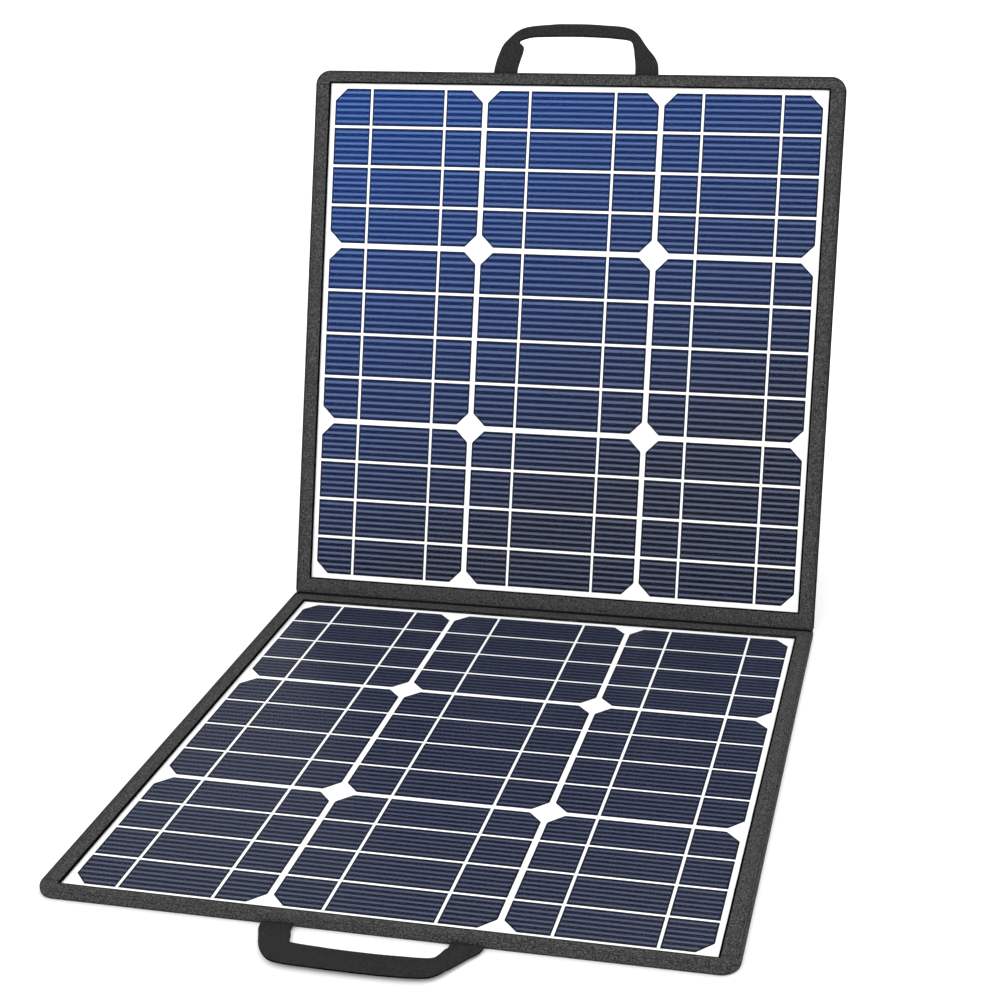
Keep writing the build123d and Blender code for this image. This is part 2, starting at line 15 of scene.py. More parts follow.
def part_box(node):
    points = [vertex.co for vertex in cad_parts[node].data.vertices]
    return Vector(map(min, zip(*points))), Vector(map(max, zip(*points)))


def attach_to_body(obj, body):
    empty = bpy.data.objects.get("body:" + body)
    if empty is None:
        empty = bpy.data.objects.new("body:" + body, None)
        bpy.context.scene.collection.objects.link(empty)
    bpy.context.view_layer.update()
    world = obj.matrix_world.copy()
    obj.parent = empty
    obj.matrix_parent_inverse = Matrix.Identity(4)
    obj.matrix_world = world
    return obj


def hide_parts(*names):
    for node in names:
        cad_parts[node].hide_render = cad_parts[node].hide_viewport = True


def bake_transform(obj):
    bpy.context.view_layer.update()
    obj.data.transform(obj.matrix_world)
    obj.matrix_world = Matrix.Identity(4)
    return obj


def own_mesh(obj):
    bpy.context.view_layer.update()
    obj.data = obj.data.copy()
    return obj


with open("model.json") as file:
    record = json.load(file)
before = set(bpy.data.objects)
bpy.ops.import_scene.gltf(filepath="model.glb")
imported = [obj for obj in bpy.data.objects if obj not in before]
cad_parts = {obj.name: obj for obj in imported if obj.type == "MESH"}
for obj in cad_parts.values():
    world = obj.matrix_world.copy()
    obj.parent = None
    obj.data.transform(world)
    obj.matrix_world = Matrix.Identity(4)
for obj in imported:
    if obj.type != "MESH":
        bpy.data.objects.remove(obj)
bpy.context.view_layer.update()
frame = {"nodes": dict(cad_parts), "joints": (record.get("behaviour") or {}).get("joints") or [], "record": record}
MM = 0.001

JOINTS = {joint["name"]: joint for joint in frame["joints"]}


def extent(node, axis):
    """A CAD node's lowest and highest coordinate along one axis, in millimetres."""
    low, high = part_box(node)
    return low[axis] / MM, high[axis] / MM


# Sizes read from the frame, in millimetres
FOLD_Y, FOLD_Z = (value / MM for value in JOINTS["leaf_fold"]["pos_m"][1:])
HALF = extent("lower_edge_binding", 0)[1]
LEAF_T = extent("lower_edge_binding", 2)[1]
LEAF = 2 * HALF
FILM_TOP = extent("lower_front_film", 2)[1]
BORDER = extent("lower_hinge_band", 1)[1] - extent("lower_side_borders", 1)[1] + 0.3
WINDOW = LEAF - 2 * BORDER
LEAN = math.radians(JOINTS["leaf_fold"]["range_deg"][1])
UPPER_TURN = math.pi - LEAN
STAND_OPEN = -math.radians(JOINTS["kickstand_swing"]["range_deg"][0])
HANDLE_ROOT_S = round(FOLD_Y - JOINTS["lower_handle_swing"]["pos_m"][1] / MM, 1)
WEBBING_N = round(JOINTS["lower_handle_swing"]["pos_m"][2] / MM, 1)

# Sizes that belong to the fabric alone, in millimetres
CORNER_R = 11.5
END_TUCK = 2.8
END = LEAF - END_TUCK
ROLL = 0.8
COVER_INSET = 1.4
STITCH_LENGTH, STITCH_WIDTH, STITCH_HEIGHT = 2.6, 0.55, 0.35
STITCH_PITCH = 3.6


def lower(x, s, n):
    """A leaf point on the lower leaf, in metres in the row frame."""
    return Vector((x, FOLD_Y - s, n)) * MM


def upper(x, s, n):
    """A leaf point on the upper leaf, in metres in the row frame."""
    along = Vector((0, -math.cos(LEAN), math.sin(LEAN)))
    out = Vector((0, -math.sin(LEAN), -math.cos(LEAN)))
    return (Vector((x, FOLD_Y, FOLD_Z)) + along * s + out * (n - FOLD_Z)) * MM


def on_upper(point):
    """The s and n, to a tenth of a millimetre, of a point given in metres in the row frame."""
    from_fold = Vector(point) - upper(0, 0, 0)
    along = upper(0, 1, 0) - upper(0, 0, 0)
    out = upper(0, 0, 1) - upper(0, 0, 0)
    return round(from_fold.dot(along) / MM ** 2, 1), round(from_fold.dot(out) / MM ** 2, 1)


STAND_HINGE_S, STAND_HINGE_N = on_upper(JOINTS["kickstand_swing"]["pos_m"])


def stand(x, s, n):
    """A point on the closed kickstand, swung out to where it stands."""
    ds, dn = s - STAND_HINGE_S, n - STAND_HINGE_N
    turned_s = STAND_HINGE_S + ds * math.cos(STAND_OPEN) - dn * math.sin(STAND_OPEN)
    turned_n = STAND_HINGE_N + ds * math.sin(STAND_OPEN) + dn * math.cos(STAND_OPEN)
    return upper(x, turned_s, turned_n)


LEAVES = {"lower": lower, "upper": upper}


# ---------------------------------------------------------------- meshes

def finish_mesh(name, mesh_data, material, smooth_deg=40):
    """Turn a bmesh into an object with outward normals and one material."""
    bmesh.ops.remove_doubles(mesh_data, verts=mesh_data.verts, dist=1e-6)
    bmesh.ops.recalc_face_normals(mesh_data, faces=mesh_data.faces)
    mesh = bpy.data.meshes.new(name)
    mesh_data.to_mesh(mesh)
    mesh_data.free()
    obj = bpy.data.objects.new(name, mesh)
    bpy.context.scene.collection.objects.link(obj)
    obj.data.materials.append(material)
    for polygon in mesh.polygons:
        polygon.use_smooth = True
    mesh.set_sharp_from_angle(angle=math.radians(smooth_deg))
    return obj


def add_sweep(mesh_data, sections, loop=False):
    """Join a list of closed sections, each a list of points, into a capped tube or a loop."""
    rings = [[mesh_data.verts.new(point) for point in section] for section in sections]
    pairs = list(zip(rings, rings[1:]))
    if loop:
        pairs.append((rings[-1], rings[0]))
    for one, two in pairs:
        count = len(one)
        for i in range(count):
            j = (i + 1) % count
            mesh_data.faces.new((one[i], one[j], two[j], two[i]))
    if not loop:
        mesh_data.faces.new(rings[0])
        mesh_data.faces.new(list(reversed(rings[-1])))


def add_sheet(mesh_data, columns, rows, face, back):
    """A closed sheet: a grid of face points, a grid of back points, and a rim."""
    grids = []
    for surface in (face, back):
        grids.append([[mesh_data.verts.new(surface(u / columns, v / rows))
                       for u in range(columns + 1)] for v in range(rows + 1)])
    for grid in grids:
        for v in range(rows):
            for u in range(columns):
                mesh_data.faces.new((grid[v][u], grid[v][u + 1], grid[v + 1][u + 1], grid[v + 1][u]))
    top, under = grids
    rim = [(0, u) for u in range(columns)] + [(v, columns) for v in range(rows)]
    rim += [(rows, u) for u in range(columns, 0, -1)] + [(v, 0) for v in range(rows, 0, -1)]
    for (v0, u0), (v1, u1) in zip(rim, rim[1:] + rim[:1]):
        mesh_data.faces.new((top[v0][u0], top[v1][u1], under[v1][u1], under[v0][u0]))


def ripple(x, s, size, seed):
    """Smooth noise from -1 to 1 over a leaf, whose swells are about size across."""
    return noise.noise(Vector((x / size, s / size, seed)))


def edge_fade(distance, width):
    """0 at an edge and 1 from width inwards, with no corner between."""
    t = max(0.0, min(1.0, distance / width))
    return t * t * (3 - 2 * t)


def rounded(x, s, centre_x, centre_s, radius):
    """Pull a point of a square corner in onto a round one."""
    dx, ds = max(0.0, abs(x) - centre_x), max(0.0, s - centre_s)
    length = math.hypot(dx, ds)
    if length == 0 or min(dx, ds) == 0:
        return x, s
    scale = max(dx, ds) / length
    return math.copysign(centre_x + dx * scale, x), centre_s + ds * scale


def attach(piece, body, slot, *stands_for):
    """Let a finished piece move with a CAD body, and hide the CAD nodes it stands for."""
    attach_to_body(piece, body)
    if stands_for:
        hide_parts(*stands_for)


# ---------------------------------------------------------------- stitches

def add_stitch(mesh_data, place, start, end, n, height):
    """One stitch: a short thread whose ends dip into the fabric."""
    along = Vector((end[0] - start[0], end[1] - start[1]))
    if along.length < 1e-6:
        return
    side = Vector((-along.y, along.x)).normalized() * STITCH_WIDTH / 2
    rings = []
    for share, rise in ((0.0, -0.1), (0.25, 0.85), (0.75, 0.85), (1.0, -0.1)):
        x, s = start[0] + along.x * share, start[1] + along.y * share
        level = n + height * rise
        girth = 0.6 if share in (0.0, 1.0) else 1.0
        rings.append([
            place(x - side.x * girth, s - side.y * girth, n - height * 0.1),
            place(x, s, level + height * 0.15),
            place(x + side.x * girth, s + side.y * girth, n - height * 0.1),
            place(x, s, n - height * 0.4),
        ])
    add_sweep(mesh_data, rings)


def seam_points(path):
    """Even stitch spans along a path of (x, s) points."""
    spans = []
    for (x0, s0), (x1, s1) in zip(path, path[1:]):
        length = math.hypot(x1 - x0, s1 - s0)
        count = max(1, round(length / STITCH_PITCH))
        for i in range(count):
            a = (i + 0.12) / count
            b = (i + 0.12 + STITCH_LENGTH / STITCH_PITCH * 0.98) / count
            spans.append((
                (x0 + (x1 - x0) * a, s0 + (s1 - s0) * a),
                (x0 + (x1 - x0) * min(b, 1), s0 + (s1 - s0) * min(b, 1)),
            ))
    return spans


def seams(name, place, paths, level, material, outward, body, slot):
    """Rows of stitches along paths of (x, s) points, at a height of the leaf, moving with a body."""
    mesh_data = bmesh.new()
    for path in paths:
        for start, end in seam_points(path):
            add_stitch(mesh_data, place, start, end, level, outward * STITCH_HEIGHT)
    attach(finish_mesh(name, mesh_data, material), body, slot)


def box_cross(x, s, half_x, half_s):
    """The path of a box stitch with a cross in it."""
    a, b = (x - half_x, s - half_s), (x + half_x, s - half_s)
    c, d = (x + half_x, s + half_s), (x - half_x, s + half_s)
    return [a, b, c, d, a, c], [b, d]


def round_path(inset, start_s):
    """The leaf's outline, inset, from one hinge corner round to the other, as (x, s)."""
    half, end, radius = HALF - inset, END - inset, CORNER_R - inset
    steps = 10
    right = [(half, start_s)]
    for i in range(steps + 1):
        angle = math.pi / 2 * i / steps
        right.append((half - radius + radius * math.cos(angle), end - radius + radius * math.sin(angle)))
    return right + [(-x, s) for x, s in reversed(right)]


# ---------------------------------------------------------------- materials

def srgb(red, green, blue):
    """A display colour, 0 to 255, as the linear colour a shader takes."""
    def linear(value):
        value /= 255
        return value / 12.92 if value <= 0.04045 else ((value + 0.055) / 1.055) ** 2.4
    return (linear(red), linear(green), linear(blue), 1.0)


class Shader:
    """A short way to build one material's nodes."""

    def __init__(self, name, roughness=0.6, turn=0.0, **settings):
        self.material = bpy.data.materials.new(name)
        self.material.use_nodes = True
        self.tree = self.material.node_tree
        self.tree.nodes.clear()
        output = self.tree.nodes.new("ShaderNodeOutputMaterial")
        self.bsdf = self.tree.nodes.new("ShaderNodeBsdfPrincipled")
        self.tree.links.new(self.bsdf.outputs["BSDF"], output.inputs["Surface"])
        self.bsdf.inputs["Roughness"].default_value = roughness
        for key, value in settings.items():
            self.bsdf.inputs[key.replace("_", " ")].default_value = value
        coordinates = self.tree.nodes.new("ShaderNodeTexCoord")
        mapping = self.tree.nodes.new("ShaderNodeMapping")
        mapping.vector_type = "TEXTURE"
        mapping.inputs["Location"].default_value = (0, FOLD_Y * MM, FOLD_Z * MM if turn else 0)
        mapping.inputs["Rotation"].default_value = (turn, 0, 0)
        mapping.inputs["Scale"].default_value = (MM, MM, MM)
        self.tree.links.new(coordinates.outputs["Object"], mapping.inputs["Vector"])
        self.here = mapping.outputs["Vector"]

    def put(self, socket, value):
        """Link another node's output to a socket, or set the socket's own value."""
        if isinstance(value, bpy.types.NodeSocket):
            self.tree.links.new(value, socket)
        else:
            socket.default_value = value

    def math(self, operation, *values, clamp=False):
        """One arithmetic node."""
        node = self.tree.nodes.new("ShaderNodeMath")
        node.operation = operation
        node.use_clamp = clamp
        for socket, value in zip(node.inputs, values):
            self.put(socket, value)
        return node.outputs[0]

    def axes(self):
        """x, y and z in millimetres, in the piece's own leaf."""
        node = self.tree.nodes.new("ShaderNodeSeparateXYZ")
        self.put(node.inputs[0], self.here)
        return node.outputs

    def noise(self, scale, detail=3.0, roughness=0.55, stretch=None):
        """Noise whose grain is about 1 / scale millimetres."""
        vector = self.here
        if stretch:
            node = self.tree.nodes.new("ShaderNodeMapping")
            node.inputs["Scale"].default_value = stretch
            self.put(node.inputs["Vector"], vector)
            vector = node.outputs[0]
        node = self.tree.nodes.new("ShaderNodeTexNoise")
        self.put(node.inputs["Vector"], vector)
        node.inputs["Scale"].default_value = scale
        node.inputs["Detail"].default_value = detail
        node.inputs["Roughness"].default_value = roughness
        return node.outputs["Fac"]

    def ramp(self, value, low, high, to_low=0.0, to_high=1.0):
        """A smooth step from to_low, at low, to to_high, at high."""
        node = self.tree.nodes.new("ShaderNodeMapRange")
        node.interpolation_type = "SMOOTHSTEP"
        for socket, number in zip(node.inputs, (value, low, high, to_low, to_high)):
            self.put(socket, number)
        return node.outputs[0]

    def blend(self, share, one, two):
        """A colour between two."""
        node = self.tree.nodes.new("ShaderNodeMix")
        node.data_type = "RGBA"
        self.put(node.inputs[0], share)
        self.put(node.inputs[6], one)
        self.put(node.inputs[7], two)
        return node.outputs[2]

    def colour(self, value):
        self.put(self.bsdf.inputs["Base Color"], value)

    def rough(self, value):
        self.put(self.bsdf.inputs["Roughness"], value)

    def bump(self, height, strength, distance):
        """Relief from a height, as deep as distance in millimetres."""
        node = self.tree.nodes.new("ShaderNodeBump")
        node.inputs["Strength"].default_value = strength
        node.inputs["Distance"].default_value = distance * MM
        self.put(node.inputs["Height"], height)
        self.put(self.bsdf.inputs["Normal"], node.outputs[0])


def scaled(tone, factor):
    """A colour made lighter or darker by a factor."""
    return tuple(min(1.0, value * factor) for value in tone[:3]) + (1.0,)


def plain_weave(shader, pitch):
    """The height of a plain weave: threads over and under, pitch apart."""
    x, y, z = shader.axes()
    wave_x = shader.math("SINE", shader.math("MULTIPLY", x, math.pi / pitch))
    wave_y = shader.math("SINE", shader.math("MULTIPLY", shader.math("ADD", y, z), math.pi / pitch))
    over = shader.math("MULTIPLY", wave_x, wave_y)
    return shader.math("ABSOLUTE", over)


def rim_shade(shader):
    """Painted shade on a border: 1 on its open face, falling to 0 at its outer edge, at the window, and in a thin
    line where the end strip laps over the side strips.
    """
    x, y, _ = shader.axes()
    side = shader.math("ABSOLUTE", x)
    s = shader.math("ABSOLUTE", y)
    to_side = shader.math("SUBTRACT", HALF, side)
    to_end = shader.math("SUBTRACT", END, s)
    outside = shader.math("MINIMUM", to_side, to_end)
    past_side = shader.math("SUBTRACT", side, WINDOW / 2)
    past_end = shader.math("SUBTRACT", s, BORDER + WINDOW)
    inside = shader.math("MAXIMUM", past_side, past_end)
    lap = shader.math("ABSOLUTE", shader.math("ADD", past_end, 1.6))
    outer = shader.ramp(outside, 0.8, 2.2)
    inner = shader.ramp(inside, 0.2, 1.5)
    return shader.math("MULTIPLY", shader.math("MULTIPLY", outer, inner), shader.ramp(lap, 0.1, 0.5))


def fabric(name, tone, speckle, turn=0.0, pitch=0.85, depth=0.16, crease=False, shaded_rims=False):
    """Woven polyester: two thread tones, mottled and a little worn, optionally darkened by painted shade in the
    crease at the fold and along the rolled edges.
    """
    made = Shader(name, 0.88, turn, Specular_IOR_Level=0.08)
    weave = plain_weave(made, pitch)
    fine = made.noise(1.0, 1.5, 0.7)
    broad = made.noise(0.12, 2.0)
    mottle = made.math("ADD", made.math("MULTIPLY", fine, 0.75), made.math("MULTIPLY", weave, 0.25))
    tint = made.blend(made.ramp(mottle, 0.44, 0.6), scaled(tone, 1 / speckle), scaled(tone, speckle))
    tint = made.blend(made.ramp(broad, 0.35, 0.75, 0.0, 0.35), tint, scaled(tone, 1.18))
    if crease:
        # Painted shade: near black in the crease along the fold, fading out within a few millimetres of it.
        _, y, z = made.axes()
        depth_in = made.math("ABSOLUTE", made.math("SUBTRACT", z, LEAF_T))
        from_fold = made.math("ADD", made.math("ABSOLUTE", y), depth_in)
        tint = made.blend(made.ramp(from_fold, 0.9, 2.6), srgb(10, 10, 10), tint)
    if shaded_rims:
        # Painted shade: dark grey at the border's rolled outer edge, at the window edge and along the lap.
        tint = made.blend(rim_shade(made), srgb(22, 22, 22), tint)
    made.colour(tint)
    made.rough(made.ramp(fine, 0.3, 0.7, 0.82, 0.95))
    height = made.math("ADD", weave, made.math("MULTIPLY", fine, 0.6))
    made.bump(height, 0.55, depth)
    return made.material


def edge_tape(leaf, turn, shade_below):
    """The border's fabric rolled over the edge, painted near black as shade below a height of the leaf and along
    the outside of its left side.
    """
    made = Shader(f"{leaf}_edge_tape", 0.9, turn, Specular_IOR_Level=0.04)
    x, _, z = made.axes()
    height = made.math("ADD", z, FOLD_Z if turn else 0.0)
    grain = made.noise(1.1, 1.5, 0.7)
    cloth = made.blend(made.ramp(grain, 0.42, 0.6), srgb(36, 36, 36), srgb(74, 74, 74))
    low = made.ramp(height, shade_below - 0.15, shade_below + 0.2)
    left = made.ramp(x, -HALF + 0.2, -HALF + 0.9)
    # Painted shade: near black on the underside of the roll and along the outside of the left side.
    made.colour(made.blend(made.math("MULTIPLY", low, left), EDGE_TONE, cloth))
    made.rough(made.ramp(grain, 0.3, 0.7, 0.84, 0.96))
    made.bump(grain, 0.5, 0.2)
    return made.material


def ribbed(name, tone, speckle, turn=0.0, across="x", pitch=1.1, depth=0.18, gloss=0.08):
    """Webbing or binding tape: ribs one way, fine yarns the other."""
    made = Shader(name, 0.85, turn, Specular_IOR_Level=gloss)
    x, y, z = made.axes()
    along = x if across == "x" else y
    other = made.math("ADD", y if across == "x" else x, z)
    ribs = made.math("SINE", made.math("MULTIPLY", along, 2 * math.pi / pitch))
    yarns = made.math("SINE", made.math("MULTIPLY", other, 2 * math.pi / (pitch * 0.7)))
    fine = made.noise(0.55, 4.0, 0.75)
    weave = made.math("ADD", made.math("MULTIPLY", ribs, 0.3), made.math("MULTIPLY", yarns, 0.16))
    mottle = made.math("ADD", fine, made.math("MULTIPLY", weave, 0.35))
    made.colour(made.blend(made.ramp(mottle, 0.3, 0.75), scaled(tone, 1 / speckle), scaled(tone, speckle)))
    made.rough(made.ramp(fine, 0.3, 0.7, 0.78, 0.92))
    made.bump(made.math("ADD", weave, made.math("MULTIPLY", fine, 0.4)), 0.6, depth)
    return made.material


def moulded(name, tone, roughness=0.45, grain=2.5, metal=0.0, depth=0.03):
    """Moulded or rolled material with a fine surface grain and a little variation."""
    made = Shader(name, roughness, 0.0, Metallic=metal)
    fine, broad = made.noise(grain, 3.0), made.noise(0.15, 2.0)
    pale = tuple(min(1.0, value * 1.25 + 0.004) for value in tone[:3]) + (1.0,)
    made.colour(made.blend(made.ramp(broad, 0.3, 0.7, 0.0, 0.6), tone, pale))
    made.rough(made.ramp(fine, 0.3, 0.7, roughness * 0.85, min(1.0, roughness * 1.2)))
    made.bump(fine, 0.4, depth)
    return made.material


# Cell layout across the window, in millimetres from the leaf's middle
CELL_EDGE = WINDOW / 2 - 4.0
MIDDLE_HALF = 68.0
OUTER_START = MIDDLE_HALF + 4.0
OUTER_CELL = CELL_EDGE - OUTER_START
RIBBONS = (0.5 * MIDDLE_HALF, OUTER_START + 0.25 * OUTER_CELL, OUTER_START + 0.75 * OUTER_CELL)
CHAMFER = 9.5
CELL_ENDS = (MIDDLE_HALF, OUTER_START, CELL_EDGE)
STRIP_GAP = 2.0
STRIPS = 4
BANDS = 6.35


def nearest(shader, value, places):
    """How far a value is from the nearest of several places."""
    found = None
    for place in places:
        gap = shader.math("ABSOLUTE", shader.math("SUBTRACT", value, place))
        found = gap if found is None else shader.math("MINIMUM", found, gap)
    return found


def silicon(name, turn, far, near, fade):
    """Silicon cells: printed finger bands, dark cut edges, and a slow colour change, which on the upper leaf is a
    painted sky reflection.

    far and near are each a pair of band colours, light and dark. fade(shader, x, s)
    is the share of near at a place.
    """
    made = Shader(name, 0.34, turn, Specular_IOR_Level=0.04)
    x, y, _ = made.axes()
    s = y if turn else made.math("MULTIPLY", y, -1.0)
    from_middle = made.math("SUBTRACT", s, LEAF / 2)
    outer_pitch = (OUTER_CELL + STRIP_GAP) / STRIPS
    middle_pitch = (2 * MIDDLE_HALF + STRIP_GAP) / STRIPS
    distance = made.math("ABSOLUTE", from_middle)
    is_outer = made.math("GREATER_THAN", distance, MIDDLE_HALF + 2.0)
    start = made.math("MULTIPLY", is_outer, OUTER_START)
    pitch = made.math("ADD", middle_pitch, made.math("MULTIPLY", is_outer, outer_pitch - middle_pitch))
    half_gap = STRIP_GAP / 2
    past_start = made.math("SUBTRACT", distance, start)
    shifted = made.math("ADD", past_start, made.math("MULTIPLY", is_outer, half_gap))
    share = made.math("FRACT", made.math("DIVIDE", shifted, pitch))
    local = made.math("SUBTRACT", share, 0.5)
    phase = made.math("MULTIPLY", local, 2 * math.pi * BANDS * 1.07)
    wave = made.math("MULTIPLY", made.math("COSINE", phase), -1.0)
    bands = made.ramp(wave, -0.25, 0.95)
    strip_edge = made.math("SUBTRACT", made.math("MULTIPLY", pitch, 0.5),
                           made.math("MULTIPLY", made.math("ABSOLUTE", local), pitch))
    cut_s = made.ramp(strip_edge, half_gap + 0.7, half_gap + 1.5)
    across = made.math("ABSOLUTE", x)
    cut_x = made.ramp(nearest(made, across, RIBBONS), 1.5, 2.2)
    end_x, end_s = nearest(made, across, CELL_ENDS), nearest(made, distance, CELL_ENDS)
    cut_end = made.ramp(end_x, 0.7, 1.5)
    cut_corner = made.ramp(made.math("ADD", end_x, end_s), CHAMFER + 0.9, CHAMFER + 2.0)
    inside_strip = made.math("MULTIPLY", cut_s, cut_x)
    face = made.math("MULTIPLY", inside_strip, made.math("MULTIPLY", cut_end, cut_corner))
    # On the upper leaf this share sets the painted sky reflection.
    shares = fade(made, x, s)
    light = made.blend(shares, far[0], near[0])
    dark = made.blend(shares, far[1], near[1])
    edge = made.blend(0.72, dark, srgb(4, 5, 12))
    broken = made.noise(0.5, 3.0, 0.7, (0.5, 2.0, 1.0))
    streaked = made.math("MULTIPLY", bands, made.ramp(broken, 0.2, 0.75, 0.8, 1.08))
    made.colour(made.blend(face, edge, made.blend(streaked, dark, light)))
    made.rough(made.ramp(bands, 0.0, 1.0, 0.3, 0.42))
    made.bump(bands, 0.2, 0.02)
    return made.material


def upper_sky_reflection(shader, x, s):
    """Painted sky reflection: deep blue at the top left, easing to grey violet towards the fold."""
    down = shader.math("DIVIDE", shader.math("SUBTRACT", LEAF - BORDER, s), WINDOW)
    right = shader.math("DIVIDE", shader.math("ADD", x, WINDOW / 2), WINDOW)
    total = shader.math("ADD", shader.math("MULTIPLY", down, 0.93), shader.math("MULTIPLY", right, 0.45))
    return shader.math("MINIMUM", total, 1.0, clamp=True)


def lower_fade(shader, x, s):
    """A little brighter towards the handle's edge."""
    return shader.math("DIVIDE", s, LEAF, clamp=True)


def laminate_white():
    """Satin white laminate with a faint grain."""
    made = Shader("laminate_white", 0.5, 0.0, Specular_IOR_Level=0.2)
    fine, broad = made.noise(0.8, 2.0), made.noise(0.03, 2.0)
    made.colour(made.blend(made.ramp(broad, 0.3, 0.7), srgb(251, 251, 252), srgb(255, 255, 255)))
    made.rough(made.ramp(fine, 0.3, 0.7, 0.42, 0.58))
    made.bump(fine, 0.15, 0.03)
    return made.material


def clear_film():
    """Almost invisible film with a soft gloss."""
    made = Shader("clear_film", 0.2, 0.0, Alpha=0.02, Specular_IOR_Level=0.5)
    fine = made.noise(0.6, 2.0)
    made.colour(made.blend(made.ramp(fine, 0.3, 0.7), srgb(60, 64, 70), srgb(90, 94, 100)))
    made.rough(made.ramp(fine, 0.3, 0.7, 0.16, 0.3))
    return made.material


def circuit_green():
    """Green board with wandering tracks."""
    made = Shader("circuit", 0.4)
    x, _, _ = made.axes()
    wander = made.math("ADD", x, made.math("MULTIPLY", made.noise(0.2), 9.0))
    tracks = made.math("SINE", made.math("MULTIPLY", wander, 3.4))
    made.colour(made.blend(made.ramp(tracks, 0.55, 0.7), srgb(14, 84, 44), srgb(32, 120, 66)))
    made.rough(made.ramp(tracks, 0.0, 1.0, 0.45, 0.3))
    made.bump(tracks, 0.2, 0.03)
    return made.material


def hook_loop():
    """Fuzzy black hook and loop tape."""
    made = Shader("hook_loop", 0.95, UPPER_TURN, Specular_IOR_Level=0.15)
    fuzz = made.noise(2.2, 4.0, 0.8)
    made.colour(made.blend(made.ramp(fuzz, 0.35, 0.7), srgb(14, 14, 15), srgb(52, 52, 54)))
    made.rough(made.ramp(fuzz, 0.3, 0.7, 0.9, 1.0))
    made.bump(fuzz, 0.9, 0.5)
    return made.material


BORDER_TONE = srgb(53, 53, 53)
COVER_TONE = srgb(66, 66, 67)
THREAD_TONE = srgb(108, 108, 110)
WEB_TONE = srgb(34, 34, 35)
# Near black: painted shade on the rolled edges and the window hem, and the webbing's dark woven edges.
EDGE_TONE = srgb(8, 8, 9)
FRONT_THREAD_TONE = srgb(50, 50, 51)
# Height on each leaf's binding below which it is painted near black as shade.
SHADE_BELOW = {"lower": 0.9, "upper": LEAF_T + 0.15}
MATERIALS = {}
for leaf, turn in (("lower", 0.0), ("upper", UPPER_TURN)):
    MATERIALS[leaf] = {
        "border": fabric(f"{leaf}_border_fabric", BORDER_TONE, 3.0, turn, shaded_rims=True),
        "cover": fabric(f"{leaf}_cover_fabric", COVER_TONE, 1.3, turn, 1.0),
        "binding": edge_tape(leaf, turn, SHADE_BELOW[leaf]),
        # The hem's near-black colour is painted shade at the window's rolled edge.
        "hem": ribbed(f"{leaf}_hem", EDGE_TONE, 1.3, turn, "y", 0.9, gloss=0.0),
        "webbing": ribbed(f"{leaf}_webbing", WEB_TONE, 1.8, turn, "x", 1.2),
    }
EDGE_CORD = ribbed("edge_cord", EDGE_TONE, 1.3, 0.0, "y", 0.9, gloss=0.0)
THREAD = ribbed("thread", THREAD_TONE, 1.2, 0.0, "x", 0.4, 0.05)
FRONT_THREAD = ribbed("front_thread", FRONT_THREAD_TONE, 1.2, 0.0, "x", 0.4, 0.05)


def dress_cad():
    """Give every CAD node that shows, or is inside, its own finish."""
    # The upper cells' blue pair is a painted sky reflection that eases into the violet pair towards the fold.
    blue = (srgb(70, 104, 162), srgb(5, 38, 98))
    violet = (srgb(84, 90, 110), srgb(10, 14, 32))
    lower_far = (srgb(58, 64, 84), srgb(18, 22, 40))
    lower_near = (srgb(76, 83, 104), srgb(15, 20, 38))
    finishes = {
        "upper_cells": silicon("upper_cells", UPPER_TURN, blue, violet, upper_sky_reflection),
        "lower_cells": silicon("lower_cells", 0.0, lower_far, lower_near, lower_fade),
    }
    by_slot = {
        "laminate_white": laminate_white(),
        "ribbon": moulded("ribbon", srgb(246, 247, 249), 0.42, 1.5),
        "board": moulded("board", srgb(92, 84, 70), 0.8, 1.2, depth=0.1),
        "case_plastic": moulded("case_plastic", srgb(30, 30, 32), 0.55, 3.0, depth=0.06),
        "socket_steel": moulded("socket_steel", srgb(176, 178, 182), 0.3, 2.0, 1.0),
        "screw_steel": moulded("screw_steel", srgb(84, 84, 88), 0.4, 2.0, 1.0),
        "circuit": circuit_green(),
        "foam": moulded("foam", srgb(34, 34, 35), 0.9, 1.5, depth=0.2),
        "lead_jacket": moulded("lead_jacket", srgb(24, 24, 25), 0.5, 1.0),
        "light_lens": moulded("light_lens", srgb(60, 190, 90), 0.2, 1.0),
        "hook_loop": hook_loop(),
        "webbing": MATERIALS["upper"]["webbing"],
        "cover_fabric": MATERIALS["upper"]["cover"],
        "border_fabric": MATERIALS["upper"]["border"],
        "binding": MATERIALS["upper"]["binding"],
    }
    for row in frame["record"]["subparts"]:
        node = frame["nodes"][row["node"]]
        finish = finishes.get(row["node"]) or by_slot.get(row["material_slot"])
        if finish is None:
            continue
        if not node.material_slots:
            node.data.materials.append(finish)
        for slot in node.material_slots:
            slot.material = finish


# ---------------------------------------------------------------- border and edges

def border_level(share):
    """The border fabric's height over its width, from the window's edge outwards."""
    crown = math.sin(math.pi * min(1.0, max(0.0, share)))
    return LEAF_T + 0.12 + 0.22 * crown


def border_section(place, inner, outer, wobble):
    """A closed section of border fabric between two (x, s) points."""
    points = []
    steps = 8
    for i in range(steps + 1):
        share = i / steps
        level = border_level(share) + wobble * math.sin(math.pi * share)
        if i == 0:
            points.append((share, FILM_TOP + 0.02))
            level -= 0.25
        points.append((share, level))
    points += [(1.0, 1.2), (0.42, 1.2), (0.42, FILM_TOP + 0.02)]
    (x0, s0), (x1, s1) = inner, outer
    return [place(x0 + (x1 - x0) * share, s0 + (s1 - s0) * share, n) for share, n in points]


